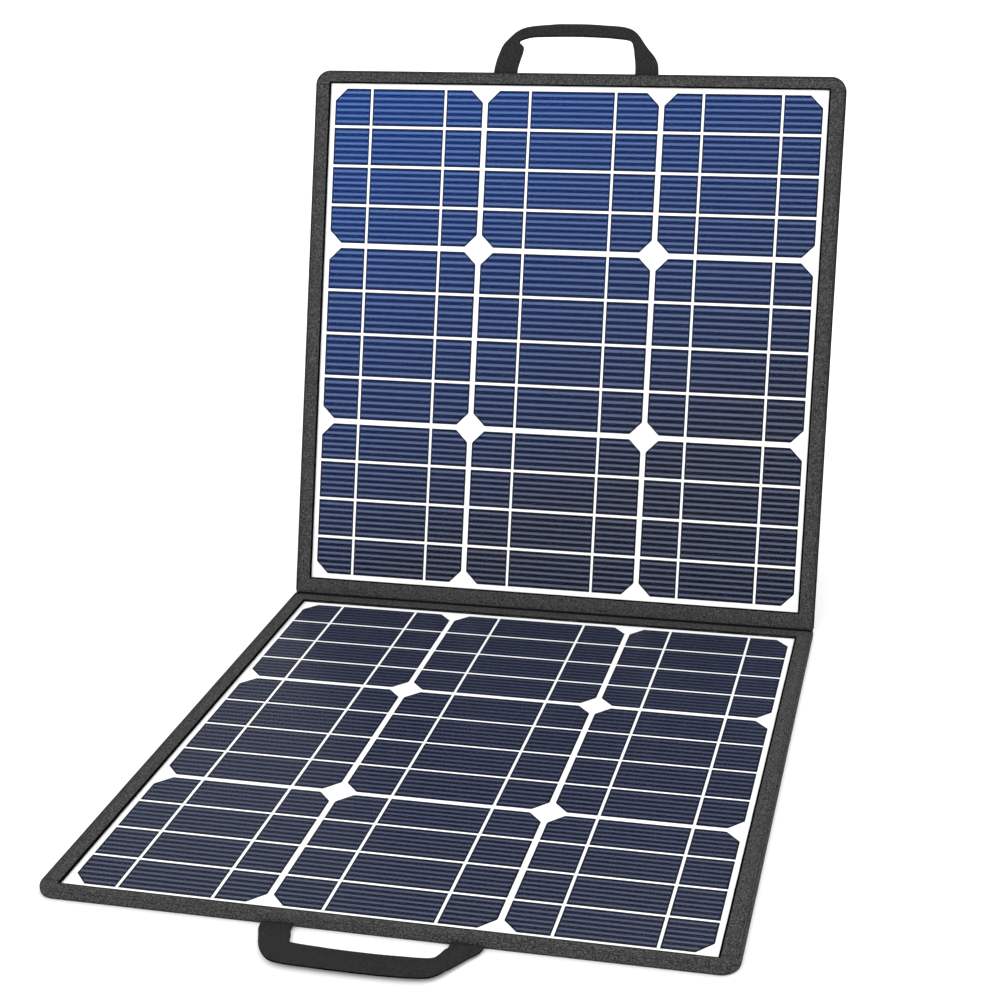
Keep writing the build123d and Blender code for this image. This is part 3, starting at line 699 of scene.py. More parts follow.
def side_border(leaf, place, side):
    """One long side strip, from the hinge band to the end strip."""
    mesh_data = bmesh.new()
    sections = []
    count = 60
    for i in range(count + 1):
        s = BORDER - 1.5 + (WINDOW - 1.2) * i / count
        wobble = 0.1 * ripple(side * 200, s, 26, 3.0)
        edge = 0.015 * ripple(side * 90, s, 34, 9.0)
        inner, outer = (side * (WINDOW / 2 + edge), s), (side * (HALF - ROLL), s)
        sections.append(border_section(place, inner, outer, wobble))
    add_sweep(mesh_data, sections)
    name = "right" if side > 0 else "left"
    return finish_mesh(f"{leaf}_side_border_{name}", mesh_data, MATERIALS[leaf]["border"])


def end_border(leaf, place):
    """The end strip: it turns both outer corners and laps over the side strips."""
    half, inner_half = HALF - ROLL, WINDOW / 2
    inner_s, radius, lap, ease = LEAF - BORDER, CORNER_R - ROLL, 3.4, 0.4
    corner = (half - radius, END - ROLL - radius)
    turn = [((inner_half, inner_s - lap), (half, inner_s - lap))]
    steps, across = 10, 50
    for i in range(steps + 1):
        angle = math.pi / 2 * i / steps
        out_x, out_s = math.cos(angle), math.sin(angle)
        inner = (inner_half + ease * (out_x - 1), inner_s + ease * (out_s - 1))
        turn.append((inner, (corner[0] + radius * out_x, corner[1] + radius * out_s)))
    stations = list(turn)
    for i in range(1, across):
        x = corner[0] - 2 * corner[0] * i / across
        stations.append(((x * inner_half / corner[0], inner_s), (x, END - ROLL)))
    stations += [((-a[0], a[1]), (-b[0], b[1])) for a, b in reversed(turn)]
    mesh_data = bmesh.new()
    sections = []
    for inner, outer in stations:
        wobble = 0.14 + 0.1 * ripple(outer[0], outer[1], 26, 5.0)
        sections.append(border_section(place, inner, outer, wobble))
    add_sweep(mesh_data, sections)
    return finish_mesh(f"{leaf}_end_border", mesh_data, MATERIALS[leaf]["border"])


def edge_binding(leaf, place):
    """Binding tape rolled round the leaf's three free edges."""
    profile = [
        (1.3, LEAF_T + 0.1), (1.1, LEAF_T + 0.24), (0.7, LEAF_T + 0.26), (0.15, LEAF_T + 0.0),
        (-0.15, LEAF_T - 0.9), (-0.25, LEAF_T / 2), (-0.15, 1.0), (0.2, 0.25), (0.9, 0.02),
        (1.9, 0.02), (2.3, 0.3), (1.2, 1.0), (1.0, LEAF_T / 2), (1.2, LEAF_T - 0.8),
    ]
    mesh_data = bmesh.new()
    sections = []
    outline = round_path(0.0, 1.0)
    counts = span_counts(outline, 7.0)
    for (x, s), inside in zip(dense_path(outline, counts), dense_path(round_path(3.0, 1.0), counts)):
        inward = (Vector(inside) - Vector((x, s))).normalized()
        swell = 0.07 * ripple(x, s, 18, 1.0)
        section = []
        for reach, n in profile:
            if reach < 1:
                reach -= swell
            section.append(place(x + inward.x * reach, s + inward.y * reach, n))
        sections.append(section)
    add_sweep(mesh_data, sections)
    return finish_mesh(f"{leaf}_binding", mesh_data, MATERIALS[leaf]["binding"])


def span_counts(points, step):
    """How many parts, about step long, each span of a path is cut into."""
    return [max(1, round(math.dist(one, two) / step)) for one, two in zip(points, points[1:])]


def dense_path(points, counts):
    """A path whose spans are cut into the given numbers of parts."""
    out = [points[0]]
    for (x0, s0), (x1, s1), count in zip(points, points[1:], counts):
        out += [(x0 + (x1 - x0) * i / count, s0 + (s1 - s0) * i / count) for i in range(1, count + 1)]
    return out


def window_hem(leaf, place):
    """The dark turned hem of the border, all round the module's window; its near-black colour is painted shade at
    the rolled window edge.
    """
    half = WINDOW / 2
    near, far = BORDER, LEAF - BORDER
    corners = [(half, near), (half, far), (-half, far), (-half, near)]
    profile = [(-0.1, FILM_TOP + 0.02), (-0.15, LEAF_T - 0.35), (0.1, LEAF_T + 0.1),
               (0.7, LEAF_T + 0.3), (1.15, LEAF_T + 0.18), (1.15, FILM_TOP + 0.1)]
    mesh_data = bmesh.new()
    sections = []
    count = 50
    for corner, following in zip(corners, corners[1:] + corners[:1]):
        for i in range(count):
            share = i / count
            x = corner[0] + (following[0] - corner[0]) * share
            s = corner[1] + (following[1] - corner[1]) * share
            out = Vector((0.0, 0.0))
            if abs(abs(x) - half) < 1e-6:
                out.x = math.copysign(1, x)
            if abs(s - near) < 1e-6:
                out.y = -1
            if abs(s - far) < 1e-6:
                out.y = 1
            wander = 0.12 * ripple(x, s, 14, 7.0)
            reaches = [(reach + wander, n) for reach, n in profile]
            sections.append([place(x + out.x * reach, s + out.y * reach, n) for reach, n in reaches])
    add_sweep(mesh_data, sections, loop=True)
    return finish_mesh(f"{leaf}_window_hem", mesh_data, MATERIALS[leaf]["hem"])


def hinge_fabric():
    """One band of fabric from window to window, creased at the fold, round to the back."""
    half = HALF - 0.4
    top = [(BORDER + 0.1, FILM_TOP), (BORDER + 0.1, LEAF_T - 0.1), (BORDER - 0.5, LEAF_T + 0.2)]
    top += [(BORDER - 2.5, LEAF_T + 0.32), (8.0, LEAF_T + 0.36), (5.0, LEAF_T + 0.3),
            (3.0, LEAF_T + 0.18), (1.6, LEAF_T + 0.0), (0.7, LEAF_T - 0.35)]
    under = [(BORDER - 2.0, 0.9), (BORDER - 2.0, 0.04), (8.0, 0.02), (4.0, 0.02), (1.5, 0.1)]
    mesh_data = bmesh.new()
    sections = []
    count = 90
    for i in range(count + 1):
        x = -half + 2 * half * i / count
        rise = 0.16 * ripple(x, 0, 22, 2.0)
        tuck = 1.0 - 0.35 * (1 - edge_fade(half - abs(x), 1.2))

        def tucked(n):
            """A height drawn in towards the leaf's middle at the band's two ends."""
            return LEAF_T / 2 + (n - LEAF_T / 2) * tuck

        face = [(s, tucked(n + (rise if 1 < s < BORDER - 1 else 0))) for s, n in top]
        back = [(s, tucked(n)) for s, n in under]
        nook = (upper(x, 0.2, tucked(0.7)) + lower(x, 0.2, tucked(0.7))) / 2 + Vector((0, 1.2, -0.9)) * MM
        ring = [lower(x, s, n) for s, n in face]
        ring.append(lower(x, -0.15, tucked(LEAF_T - 0.75)))
        ring += [upper(x, s, n) for s, n in reversed(face)]
        ring += [upper(x, s, n) for s, n in back]
        ring.append(nook)
        ring += [lower(x, s, n) for s, n in reversed(back)]
        sections.append(ring)
    add_sweep(mesh_data, sections)
    # The band's colour darkens towards the fold: painted shade in the crease.
    band = finish_mesh("hinge_fabric", mesh_data, fabric("hinge_fabric", BORDER_TONE, 2.8, crease=True), 50)
    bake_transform(band)
    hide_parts("lower_hinge_band", "upper_hinge_band")


def back_cover(leaf, place):
    """The woven back, pulled over the board, with slight swells and puckers."""
    half, near, far = HALF - COVER_INSET, 1.5, END - COVER_INSET
    flat = leaf == "lower"

    def at(u, v):
        x, s = -half + 2 * half * u, near + (far - near) * v
        return rounded(x, s, HALF - CORNER_R, END - CORNER_R, CORNER_R)

    def swell(x, s):
        inside = min(half - abs(x), far - s, s - near)
        if flat:
            return 0.3 * (1 - edge_fade(inside, 2.5))
        near_seam = (1 - edge_fade(inside, 9)) * edge_fade(inside, 2)
        pucker = 0.16 * math.sin(x * 0.9) * math.sin(s * 0.9) * near_seam
        return -0.32 * edge_fade(inside, 20) * (0.5 + 0.5 * ripple(x, s, 60, 4.0)) + pucker + 0.1

    def outer(u, v):
        x, s = at(u, v)
        return place(x, s, swell(x, s))

    def inner(u, v):
        x, s = at(u, v)
        return place(x, s, 0.75)

    mesh_data = bmesh.new()
    add_sheet(mesh_data, 90, 90, outer, inner)
    cover = finish_mesh(f"{leaf}_cover", mesh_data, MATERIALS[leaf]["cover"])
    attach(cover, f"{leaf}_leaf", "cover_fabric", f"{leaf}_back_cover")


def front_film(leaf, place, material):
    """The clear film over the cells: flat on top, clear of the busbars underneath."""
    reach = WINDOW / 2 + 2.0
    under = extent("lower_busbars", 2)[1] + 0.04

    def at(n):
        return lambda u, v: place(reach * (2 * u - 1), LEAF / 2 + reach * (2 * v - 1), n)

    mesh_data = bmesh.new()
    add_sheet(mesh_data, 1, 1, at(FILM_TOP), at(under))
    film = finish_mesh(f"{leaf}_film", mesh_data, material)
    attach(film, f"{leaf}_leaf", "film", f"{leaf}_front_film")


def leaf_edges(leaf, place):
    """Border strips, hem, binding and their stitching on one leaf."""
    body = f"{leaf}_leaf"
    for side in (1, -1):
        attach(side_border(leaf, place, side), body, "border_fabric", f"{leaf}_side_borders")
    attach(end_border(leaf, place), body, "border_fabric", f"{leaf}_end_border")
    attach(edge_binding(leaf, place), body, "binding", f"{leaf}_edge_binding")
    attach(window_hem(leaf, place), body, "binding")
    front, back = [round_path(3.2, BORDER)], [round_path(3.4, 6.0)]
    seams(f"{leaf}_front_stitches", place, front, LEAF_T + 0.28, FRONT_THREAD, 1, body, "binding")
    seams(f"{leaf}_back_stitches", place, back, 0.1, THREAD, -1, body, "binding")


# ---------------------------------------------------------------- handles

def bend_through(points, count):
    """Even points along a smooth curve through a few (x, s) points."""
    out = []
    for i in range(count + 1):
        place_on = i / count * (len(points) - 1)
        index = min(int(place_on), len(points) - 2)
        t = place_on - index
        p0, p1 = points[max(index - 1, 0)], points[index]
        p2, p3 = points[index + 1], points[min(index + 2, len(points) - 1)]
        out.append(tuple(
            0.5 * (2 * b + (c - a) * t + (2 * a - 5 * b + 4 * c - d) * t * t
                   + (3 * b - a - 3 * c + d) * t ** 3)
            for a, b, c, d in zip(p0, p1, p2, p3)
        ))
    return out


# Each handle's outer and inner edges, in its leaf's (x, s), from one root to the other
HANDLE_EDGES = {
    "lower": (
        [(-66, 403), (-65.8, 421), (-62.5, 431), (-57.5, 442), (-50, 450.6), (-41, 453.8),
         (-20, 454.6), (0, 454.8), (20, 454.4), (37, 453.2), (46.5, 450.2), (53.5, 441.5), (60.5, 431),
         (66.5, 421), (66, 403)],
        [(-47, 403), (-46.4, 421), (-44.3, 427), (-42.4, 433.4), (-38, 434.8), (-20, 435.8),
         (-8, 436.2), (8, 436.2), (20, 435.8), (36, 434.8), (42, 433.2), (44.2, 429), (45.6, 424.5),
         (47, 421), (47, 403)],
    ),
    "upper": (
        [(-66, 403), (-64.4, 421), (-61.6, 433), (-56.8, 442.5), (-43.5, 453.2), (-20, 456.4),
         (-8, 456.8), (8, 456.7), (20, 456), (37, 454.6), (46.6, 450.2), (55.5, 439), (63.4, 429.5),
         (65.8, 421), (66, 403)],
        [(-47, 403), (-45.4, 421), (-42.6, 433), (-42.4, 438.5), (-46.2, 442.3), (-37, 445.8),
         (-20, 446.6), (0, 446.8), (20, 446.2), (31, 445.4), (41.6, 443.8), (44.6, 439), (46, 432),
         (47.5, 421), (47, 403)],
    ),
}

# Each grip's half thickness where its webbing is doubled, and the handle's tilt in degrees
GRIP = {"lower": (1.15, 3), "upper": (2.3, -8)}
LEG_HALF_T = 0.85
RING_POINTS = 16


def handle(leaf, place):
    """The webbing handle: flat legs out of the edge, turned at the shoulders, and sewn along the grip."""
    outer_edge, inner_edge = HANDLE_EDGES[leaf]
    grip_half_t, tilt_deg = GRIP[leaf]
    count = 168
    outer, inner = bend_through(outer_edge, count), bend_through(inner_edge, count)
    cos_t, sin_t = math.cos(math.radians(tilt_deg)), math.sin(math.radians(tilt_deg))
    folded = leaf == "upper"

    def swung(x, s, n):
        past = max(0.0, s - HANDLE_ROOT_S)
        if past == 0:
            return place(x, s, n)
        dn = n - WEBBING_N
        turned_s = HANDLE_ROOT_S + past * cos_t - dn * sin_t
        return place(x, turned_s, WEBBING_N + past * sin_t + dn * cos_t)

    def ring(out, into):
        doubled = edge_fade((out[1] + into[1]) / 2 - 430, 15)
        half_t = LEG_HALF_T + (grip_half_t - LEG_HALF_T) * doubled
        squareness = 0.28 + 0.2 * doubled * folded
        points = []
        for k in range(RING_POINTS):
            angle = 2 * math.pi * (k + 0.5) / RING_POINTS
            across = math.copysign(abs(math.cos(angle)) ** squareness, math.cos(angle))
            lift = math.copysign(abs(math.sin(angle)) ** (squareness + 0.25), math.sin(angle))
            share = 0.5 + 0.5 * across
            x = into[0] + (out[0] - into[0]) * share
            s = into[1] + (out[1] - into[1]) * share
            seam = 0.35 * doubled * folded * math.exp(-((share - 0.22) / 0.09) ** 2)
            wave = 0.12 * ripple(x, s, 9, 12.0)
            points.append(swung(x, s, WEBBING_N + lift * (half_t - seam + wave)))
        return points

    mesh_data = bmesh.new()
    add_sweep(mesh_data, [ring(out, into) for out, into in zip(outer, inner)])
    loop = finish_mesh(f"{leaf}_webbing_handle", mesh_data, MATERIALS[leaf]["webbing"], 60)
    dark_edges(loop)
    start, end = place(0, 420.6, WEBBING_N), place(0, 423.4, WEBBING_N)
    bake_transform(loop)
    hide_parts(f"{leaf}_handle", f"{leaf}_handle_anchors")
    handle_stitches(leaf, swung, list(zip(outer, inner)), grip_half_t)


def dark_edges(webbing):
    """Darken webbing along its two woven edges: the narrow sides of each ring."""
    webbing.data.materials.append(EDGE_CORD)
    middle = RING_POINTS // 2
    for polygon in webbing.data.polygons:
        places = {index % RING_POINTS for index in polygon.vertices}
        if places <= {RING_POINTS - 1, 0} or places <= {middle - 1, middle}:
            polygon.material_index = 1


def handle_stitches(leaf, swung, edges, half_t):
    """Stitches along the grip, on both faces: a row along each side on the lower handle, one row on the upper."""
    def row(share):
        return [
            (into[0] + (out[0] - into[0]) * share, into[1] + (out[1] - into[1]) * share)
            for out, into in edges if (out[1] + into[1]) / 2 > 444
        ][::3]

    rows = [row(0.2)] if leaf == "upper" else [row(0.12), row(0.88)]
    for face in (1, -1):
        name = f"{leaf}_grip_stitches_{'front' if face > 0 else 'back'}"
        level = WEBBING_N + face * (half_t - 0.35)
        seams(name, swung, rows, level, FRONT_THREAD, face, f"{leaf}_handle", "webbing")


# ---------------------------------------------------------------- kickstand

STAND_HALF = 110.0
STAND_R = 14.0
STAND_T = 3.4


def kickstand():
    """The fabric sleeve over the kickstand's board, its hinge fabric and its straps."""
    cover = MATERIALS["upper"]["cover"]
    top, foot = STAND_HINGE_S - 1.5, stand_foot_s()

    def at(u, v):
        x, s = -STAND_HALF + 2 * STAND_HALF * u, top - (top - foot) * v
        x, flipped = rounded(x, -s, STAND_HALF - STAND_R, -foot - STAND_R, STAND_R)
        return x, -flipped

    def thickness(x, s):
        inside = min(STAND_HALF - abs(x), s - foot, top - s + 4)
        seam = 0.28 * math.exp(-((inside - 6.5) / 1.6) ** 2)
        return STAND_T / 2 - 0.75 * (1 - edge_fade(inside, 2.2)) - seam + 0.1 * ripple(x, s, 40, 6.0)

    def outer(u, v):
        x, s = at(u, v)
        return stand(x, s, STAND_HINGE_N - thickness(x, s))

    def inner(u, v):
        x, s = at(u, v)
        return stand(x, s, STAND_HINGE_N + thickness(x, s))

    mesh_data = bmesh.new()
    add_sheet(mesh_data, 88, 110, outer, inner)
    sleeve = finish_mesh("kickstand_sleeve", mesh_data, cover)
    attach(sleeve, "kickstand", "cover_fabric", "kickstand_cover")

    path = [(STAND_HALF - 6.5, top - 4)] + corner_path(STAND_HALF, foot, STAND_R, 6.5, 8)
    path += [(-x, s) for x, s in reversed(path)]
    for face in (1, -1):
        name = f"kickstand_stitches_{'inner' if face > 0 else 'outer'}"
        level = STAND_HINGE_N + face * 1.45
        seams(name, stand, [path], level, THREAD, face, "kickstand", "cover_fabric")

    hinge_strip(cover)
    for side in (-1, 1):
        strap(side)


def corner_path(half, foot, radius, inset, steps):
    """A seam's points round a panel's lower right corner, as (x, s), at an inset from its edges."""
    reach = radius - inset
    angles = [math.pi / 2 * i / steps for i in range(steps + 1)]
    return [(half - radius + reach * math.cos(a), foot + radius - reach * math.sin(a)) for a in angles]


def stand_foot_s():
    """The closed kickstand's foot: its sleeve's lowest edge, measured back to its hinge."""
    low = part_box("kickstand_cover")[0]
    hinge = upper(0, STAND_HINGE_S, STAND_HINGE_N)
    tilt = STAND_OPEN - (LEAN - math.pi / 2)
    length = (hinge.z - low.z) / MM / math.cos(tilt) - STAND_T / 2 * math.tan(tilt)
    return STAND_HINGE_S - length


def hinge_strip(cover):
    """Fabric sewn to the back cover that turns down into the kickstand's sleeve."""
    half = STAND_HALF - 1.0
    route = [(313.0, -0.5), (308.0, -0.75), (303.5, -0.85), (301.3, -1.3)]
    sleeve_face = [(299.0, -1.2), (294.0, -1.95), (288.0, -1.85)]
    sleeve_back = [(288.0, -1.4), (294.0, -1.4), (298.9, -0.4)]
    sections = []
    mesh_data = bmesh.new()
    count = 70
    for i in range(count + 1):
        x = -half + 2 * half * i / count
        lift = 0.12 * ripple(x, 300, 18, 8.0)
        ring = [upper(x, s, n - 0.45 + lift) for s, n in route]
        for index, (s, rise) in enumerate(sleeve_face):
            ring.append(stand(x, s, STAND_HINGE_N + rise + (lift if index == 0 else 0)))
        ring += [stand(x, s, STAND_HINGE_N + rise) for s, rise in sleeve_back]
        ring += [upper(x, s, n + 0.42) for s, n in reversed(route)]
        sections.append(ring)
    add_sweep(mesh_data, sections)
    strip = finish_mesh("kickstand_hinge_fabric", mesh_data, cover, 60)
    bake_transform(strip)
    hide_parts("kickstand_hinge_strip")
    rows = [[(-half + 3, s), (half - 3, s)] for s in (306.0, 310.5)]
    seams("kickstand_hinge_stitches", upper, rows, -1.25, THREAD, -1, "upper_leaf", "cover_fabric")


STRAP_X, STRAP_HALF_W, STRAP_T = 82.0, 7.5, 1.0
LEAF_STRAP_S, STAND_STRAP_S = STAND_HINGE_S - 205.0, STAND_HINGE_S - 232.0
PATCH_HALF = 11.0
STRAP_LIFT = 0.55
STRAP_SAG = 1.2
TAB_HALF_T = 0.33


def strap_ring(point, along, x0, half_t):
    """The webbing's rounded cross section at a point, square to its run."""
    corners = ((-1, -0.6), (-0.9, -1), (0.9, -1), (1, -0.6), (1, 0.6), (0.9, 1), (-0.9, 1), (-1, 0.6))
    normal = along.cross(Vector((1, 0, 0))).normalized() * half_t * MM
    ring = []
    for across, lift in corners:
        x = (x0 + across * STRAP_HALF_W) * MM
        ring.append(Vector((x, point.y, point.z)) + normal * lift)
    return ring


def strap_piece(name, route, x0, half_t):
    """Webbing swept along a route of points."""
    sections = []
    for index, point in enumerate(route):
        before, after = route[max(index - 1, 0)], route[min(index + 1, len(route) - 1)]
        sections.append(strap_ring(point, (after - before).normalized(), x0, half_t))
    mesh_data = bmesh.new()
    add_sweep(mesh_data, sections)
    return finish_mesh(name, mesh_data, MATERIALS["upper"]["webbing"], 60)


def strap_span(leaf_end, stand_end):
    """The free length's middle line, from the leaf to the kickstand, with a little sag."""
    steps = 26
    route = []
    for i in range(steps + 1):
        share = i / steps
        sag = Vector((0, 0, -STRAP_SAG * MM * math.sin(math.pi * share)))
        route.append(leaf_end.lerp(stand_end, share) + sag)
    return route


def strap(side):
    """A limit strap: a free length between two ends, one sewn to the leaf, one to the kickstand.
    """
    x0 = side * STRAP_X
    name = "right" if side > 0 else "left"
    inner = STAND_HINGE_N + STAND_T / 2
    leaf_end = upper(0, LEAF_STRAP_S, -STRAP_LIFT)
    stand_end = stand(0, STAND_STRAP_S, inner + STRAP_LIFT)
    span = strap_piece(f"limit_strap_{name}", strap_span(leaf_end, stand_end), x0, STRAP_T / 2)
    attach(span, "upper_leaf", "webbing", "kickstand_straps")
    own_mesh(span)

    tab = [(PATCH_HALF, 0.35), (3, 0.36), (-0.5, 0.4)]
    leaf_tab = [upper(0, LEAF_STRAP_S + past, -rise) for past, rise in tab]
    stand_tab = [stand(0, STAND_STRAP_S - past, inner + rise) for past, rise in tab]
    sewn_end = strap_piece(f"leaf_strap_end_{name}", leaf_tab, x0, TAB_HALF_T)
    attach(sewn_end, "upper_leaf", "webbing", "leaf_strap_patches")
    sewn_end = strap_piece(f"stand_strap_end_{name}", stand_tab, x0, TAB_HALF_T)
    attach(sewn_end, "kickstand", "webbing", "stand_strap_patches")
    cross = box_cross(x0, LEAF_STRAP_S + 6.5, 5.5, 3.2)
    seams(f"leaf_strap_stitches_{name}", upper, cross, -0.68, THREAD, -0.5, "upper_leaf", "webbing")
    cross = box_cross(x0, STAND_STRAP_S - 6.5, 5.5, 3.2)
    seams(f"stand_strap_stitches_{name}", stand, cross, inner + 0.68, THREAD, 0.5, "kickstand", "webbing")


# ---------------------------------------------------------------- pocket and flap

POCKET_HALF = 120.0
POCKET_S = (318.0, 400.0)
POCKET_D = 25.0
POCKET_WALL = 1.2
FLANGE = 7.0


def pocket():
    """The pouch: one strip of fabric round three sides, a bulged front, sewn flanges."""
    cover = MATERIALS["upper"]["cover"]
    corner = 3.0
    front_n = -POCKET_D + POCKET_WALL / 2

    def outline(t):
        """The pouch's section across x, from flange to flange, as (x, n)."""
        legs = [(-POCKET_HALF - FLANGE, -0.55), (-POCKET_HALF - 1.2, -0.6), (-POCKET_HALF - 0.1, -1.6),
                (-POCKET_HALF, -5.0), (-POCKET_HALF, front_n + corner),
                (-POCKET_HALF + corner * 0.3, front_n + corner * 0.3), (-POCKET_HALF + corner, front_n)]
        points = legs + [(x, front_n) for x in range(-105, 106, 15)]
        points += [(-x, n) for x, n in reversed(legs)]
        place_on = t * (len(points) - 1)
        index = min(int(place_on), len(points) - 2)
        share = place_on - index
        (x0, n0), (x1, n1) = points[index], points[index + 1]
        return x0 + (x1 - x0) * share, n0 + (n1 - n0) * share, len(points) - 1

    steps = outline(0)[2] * 3

    def shell(u, v, lift):
        x, n, _ = outline(u)
        s = POCKET_S[0] + (POCKET_S[1] - POCKET_S[0]) * v
        on_front = edge_fade(POCKET_HALF - abs(x), 18) * edge_fade(-n - 4, 8)
        bulge = -1.5 * on_front * math.sin(math.pi * min(1.0, v * 1.7)) * (v < 0.59)
        crease = 0.22 * on_front * ripple(x, s, 30, 11.0) * (1 - edge_fade(v - 0.45, 0.12))
        hem = 0.25 * edge_fade(v - 0.93, 0.03)
        before, after = outline(max(0.0, u - 0.002)), outline(min(1.0, u + 0.002))
        across = Vector((after[0] - before[0], after[1] - before[1])).normalized()
        out = Vector((across.y, -across.x))
        reach = lift * (POCKET_WALL / 2 + hem * 0.5)
        return upper(x + out.x * reach, s, n + out.y * reach + bulge + crease)

    mesh_data = bmesh.new()
    add_sheet(mesh_data, steps, 28, lambda u, v: shell(u, v, 1), lambda u, v: shell(u, v, -1))

    def floor_point(u, v, side):
        x = -POCKET_HALF + 0.4 + 2 * (POCKET_HALF - 0.4) * u
        n = -0.5 + (front_n + 0.5) * v
        sag = 0.8 * math.sin(math.pi * u) * math.sin(math.pi * v)
        return upper(x, POCKET_S[0] + 0.6 - sag + side * POCKET_WALL / 2, n)

    add_sheet(mesh_data, 40, 8, lambda u, v: floor_point(u, v, 1), lambda u, v: floor_point(u, v, -1))
    pouch = finish_mesh("pocket_pouch", mesh_data, cover)
    attach(pouch, "upper_leaf", "cover_fabric", "pocket_front", "pocket_gussets")

    flange_x = POCKET_HALF + 4.2
    rows = [[(x, POCKET_S[0] + 1), (x, POCKET_S[1] - 1)] for x in (flange_x, -flange_x)]
    seams("pocket_flange_stitches", upper, rows, -1.15, THREAD, -1, "upper_leaf", "cover_fabric")
    rows = [[(-POCKET_HALF + 7, POCKET_S[0] + 5), (POCKET_HALF - 7, POCKET_S[0] + 5)]]
    level = -POCKET_D - 0.35
    seams("pocket_front_stitches", upper, rows, level, THREAD, -1, "upper_leaf", "cover_fabric")
    flap(cover)


FLAP_HALF = 123.0
FLAP_R = 12.0


def flap(cover):
    """The flap: sewn to the back, over the pocket's mouth and down its front."""
    outer_n = -POCKET_D - 3.1 + 0.7
    route = [(416.0, -0.5), (411.0, -0.6), (406.8, -0.7), (404.6, -1.3), (403.0, -2.8),
             (402.3, -6.0), (402.3, -12.0), (402.4, -18.0), (402.4, outer_n + 3.0), (401.6, outer_n + 0.8)]
    route += [(s, outer_n) for s in (399.6, 395.0, 388.0, 380.0, 373.0, 365.7)]
    lengths = [0.0]
    for (s0, n0), (s1, n1) in zip(route, route[1:]):
        lengths.append(lengths[-1] + math.hypot(s1 - s0, n1 - n0))

    def along(v):
        goal = v * lengths[-1]
        index = min(max(i for i, length in enumerate(lengths) if length <= goal + 1e-9), len(route) - 2)
        share = (goal - lengths[index]) / (lengths[index + 1] - lengths[index])
        (s0, n0), (s1, n1) = route[index], route[index + 1]
        return s0 + (s1 - s0) * share, n0 + (n1 - n0) * share

    def point(u, v, side):
        x = -FLAP_HALF + 2 * FLAP_HALF * u
        goal = v * lengths[-1]
        x, goal = rounded(x, goal, FLAP_HALF - FLAP_R, lengths[-1] - FLAP_R, FLAP_R)
        v = goal / lengths[-1]
        s, n = along(v)
        before, after = along(max(0.0, v - 0.01)), along(min(1.0, v + 0.01))
        way = Vector((after[0] - before[0], after[1] - before[1])).normalized()
        out = Vector((-way.y, way.x))
        inside = min(FLAP_HALF - abs(x), lengths[-1] - goal)
        half_t = 0.68 - 0.2 * (1 - edge_fade(inside, 1.5)) + 0.25 * math.exp(-((inside - 3) / 2.2) ** 2)
        if goal < 14:
            half_t = 0.45
        lid = edge_fade(goal - 16, 6) * (1 - edge_fade(goal - 34, 6))
        dip = 0.5 * lid * math.sin(math.pi * u) * (1 + 0.4 * ripple(x, goal, 40, 2.0))
        return upper(x, s + out.x * side * half_t - dip, n + out.y * side * half_t)

    mesh_data = bmesh.new()
    add_sheet(mesh_data, 82, 44, lambda u, v: point(u, v, -1), lambda u, v: point(u, v, 1))
    cloth = finish_mesh("pocket_flap_fabric", mesh_data, cover)
    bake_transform(cloth)
    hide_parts("flap_lid", "flap_tongue", "flap_hinge_strip")

    inset = 5.0
    half = FLAP_HALF - inset
    path = [(half, 398.0)] + corner_path(FLAP_HALF, route[-1][0], FLAP_R, inset, 4)
    path += [(-x, s) for x, s in reversed(path)]
    level = outer_n - 0.8
    seams("flap_edge_stitches", upper, [path], level, THREAD, -1, "pocket_flap", "cover_fabric")
    rows = [[(-half, s), (half, s)] for s in (410.0, 413.5)]
    seams("flap_hinge_stitches", upper, rows, -1.02, THREAD, -1, "upper_leaf", "cover_fabric")


# ---------------------------------------------------------------- stage

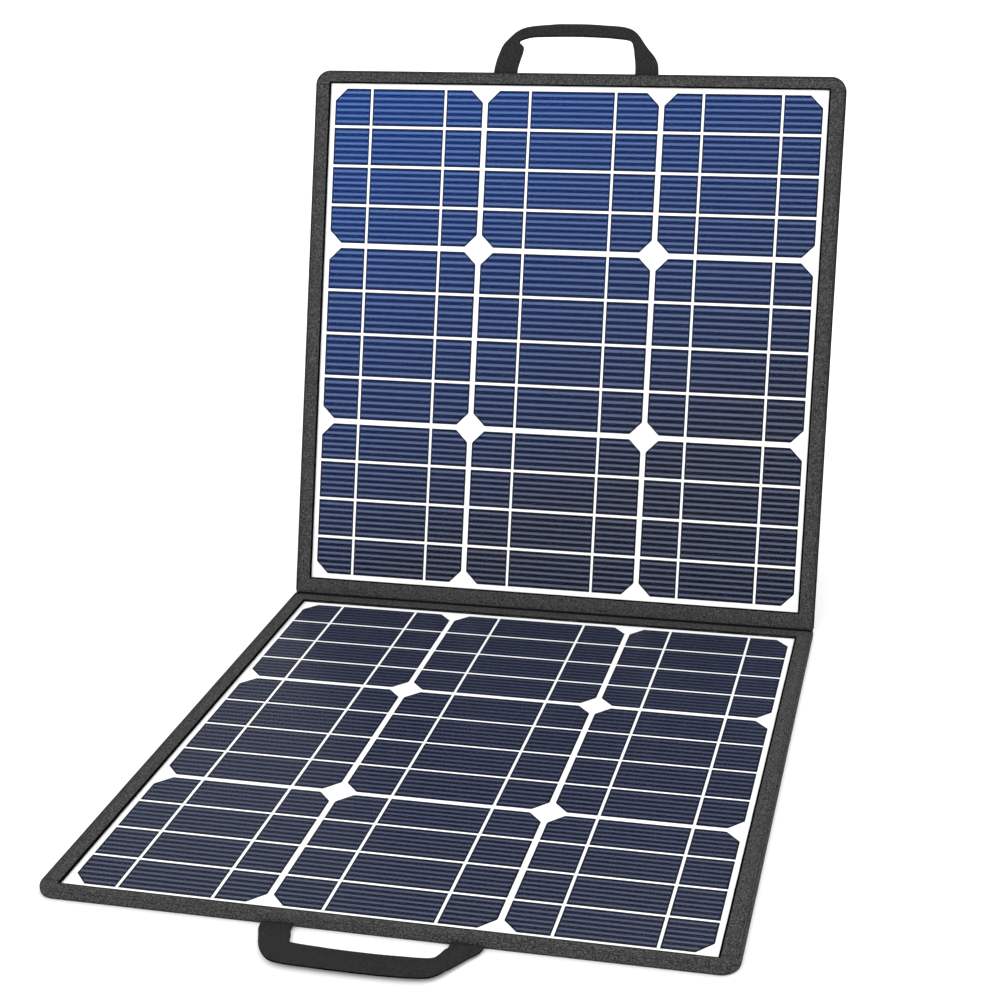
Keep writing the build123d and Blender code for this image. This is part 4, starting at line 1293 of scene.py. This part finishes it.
SUN_SPREAD = math.radians(60)
FLOOR_HALF, FLOOR_Z = 40.0, -0.0002  # in metres


def studio():
    """Pale floor, soft light, and the camera."""
    scene = bpy.context.scene
    scene.view_settings.view_transform = "Standard"
    world = bpy.data.worlds.new("studio")
    scene.world = world
    world.use_nodes = True
    background = world.node_tree.nodes["Background"]
    background.inputs["Color"].default_value = (1.0, 1.0, 1.0, 1.0)
    background.inputs["Strength"].default_value = 1.05

    mesh_data = bmesh.new()
    corners = [(x * FLOOR_HALF, y * FLOOR_HALF, FLOOR_Z) for x, y in ((-1, -1), (1, -1), (1, 1), (-1, 1))]
    mesh_data.faces.new([mesh_data.verts.new(corner) for corner in corners])
    pale = Shader("floor_pale", 0.7)
    grain = pale.noise(0.02, 2.0)
    pale.colour(pale.blend(grain, srgb(243, 243, 243), srgb(247, 247, 247)))
    floor = finish_mesh("floor", mesh_data, pale.material)

    lights = (
        ("key", (-1.6, -2.6, 2.6), 1.1),
        ("fill", (2.0, -2.2, 2.2), 0.6),
        ("rear", (0.9, 3.0, 1.6), 1.2),
    )
    for name, place, power in lights:
        data = bpy.data.lights.new(name, "SUN")
        data.angle = SUN_SPREAD
        data.energy = power
        light = bpy.data.objects.new(name, data)
        light.location = place
        light.rotation_euler = (-Vector(place)).to_track_quat("-Z", "Y").to_euler()
        scene.collection.objects.link(light)

    data = bpy.data.cameras.new("camera")
    data.lens = 60.58
    data.sensor_width = 36.0
    data.shift_x = -0.12
    data.shift_y = 0.042
    data.clip_start = 0.01
    camera = bpy.data.objects.new("camera", data)
    camera.location = (0.3049, -0.9478, 0.5843)
    camera.rotation_euler = Euler([math.radians(a) for a in (66.456, 0.936, 11.526)])
    scene.collection.objects.link(camera)
    scene.camera = camera


dress_cad()
FILM = clear_film()
for leaf, place in LEAVES.items():
    front_film(leaf, place, FILM)
    leaf_edges(leaf, place)
    back_cover(leaf, place)
hinge_fabric()
handle("lower", lower)
handle("upper", upper)
kickstand()
pocket()
studio()
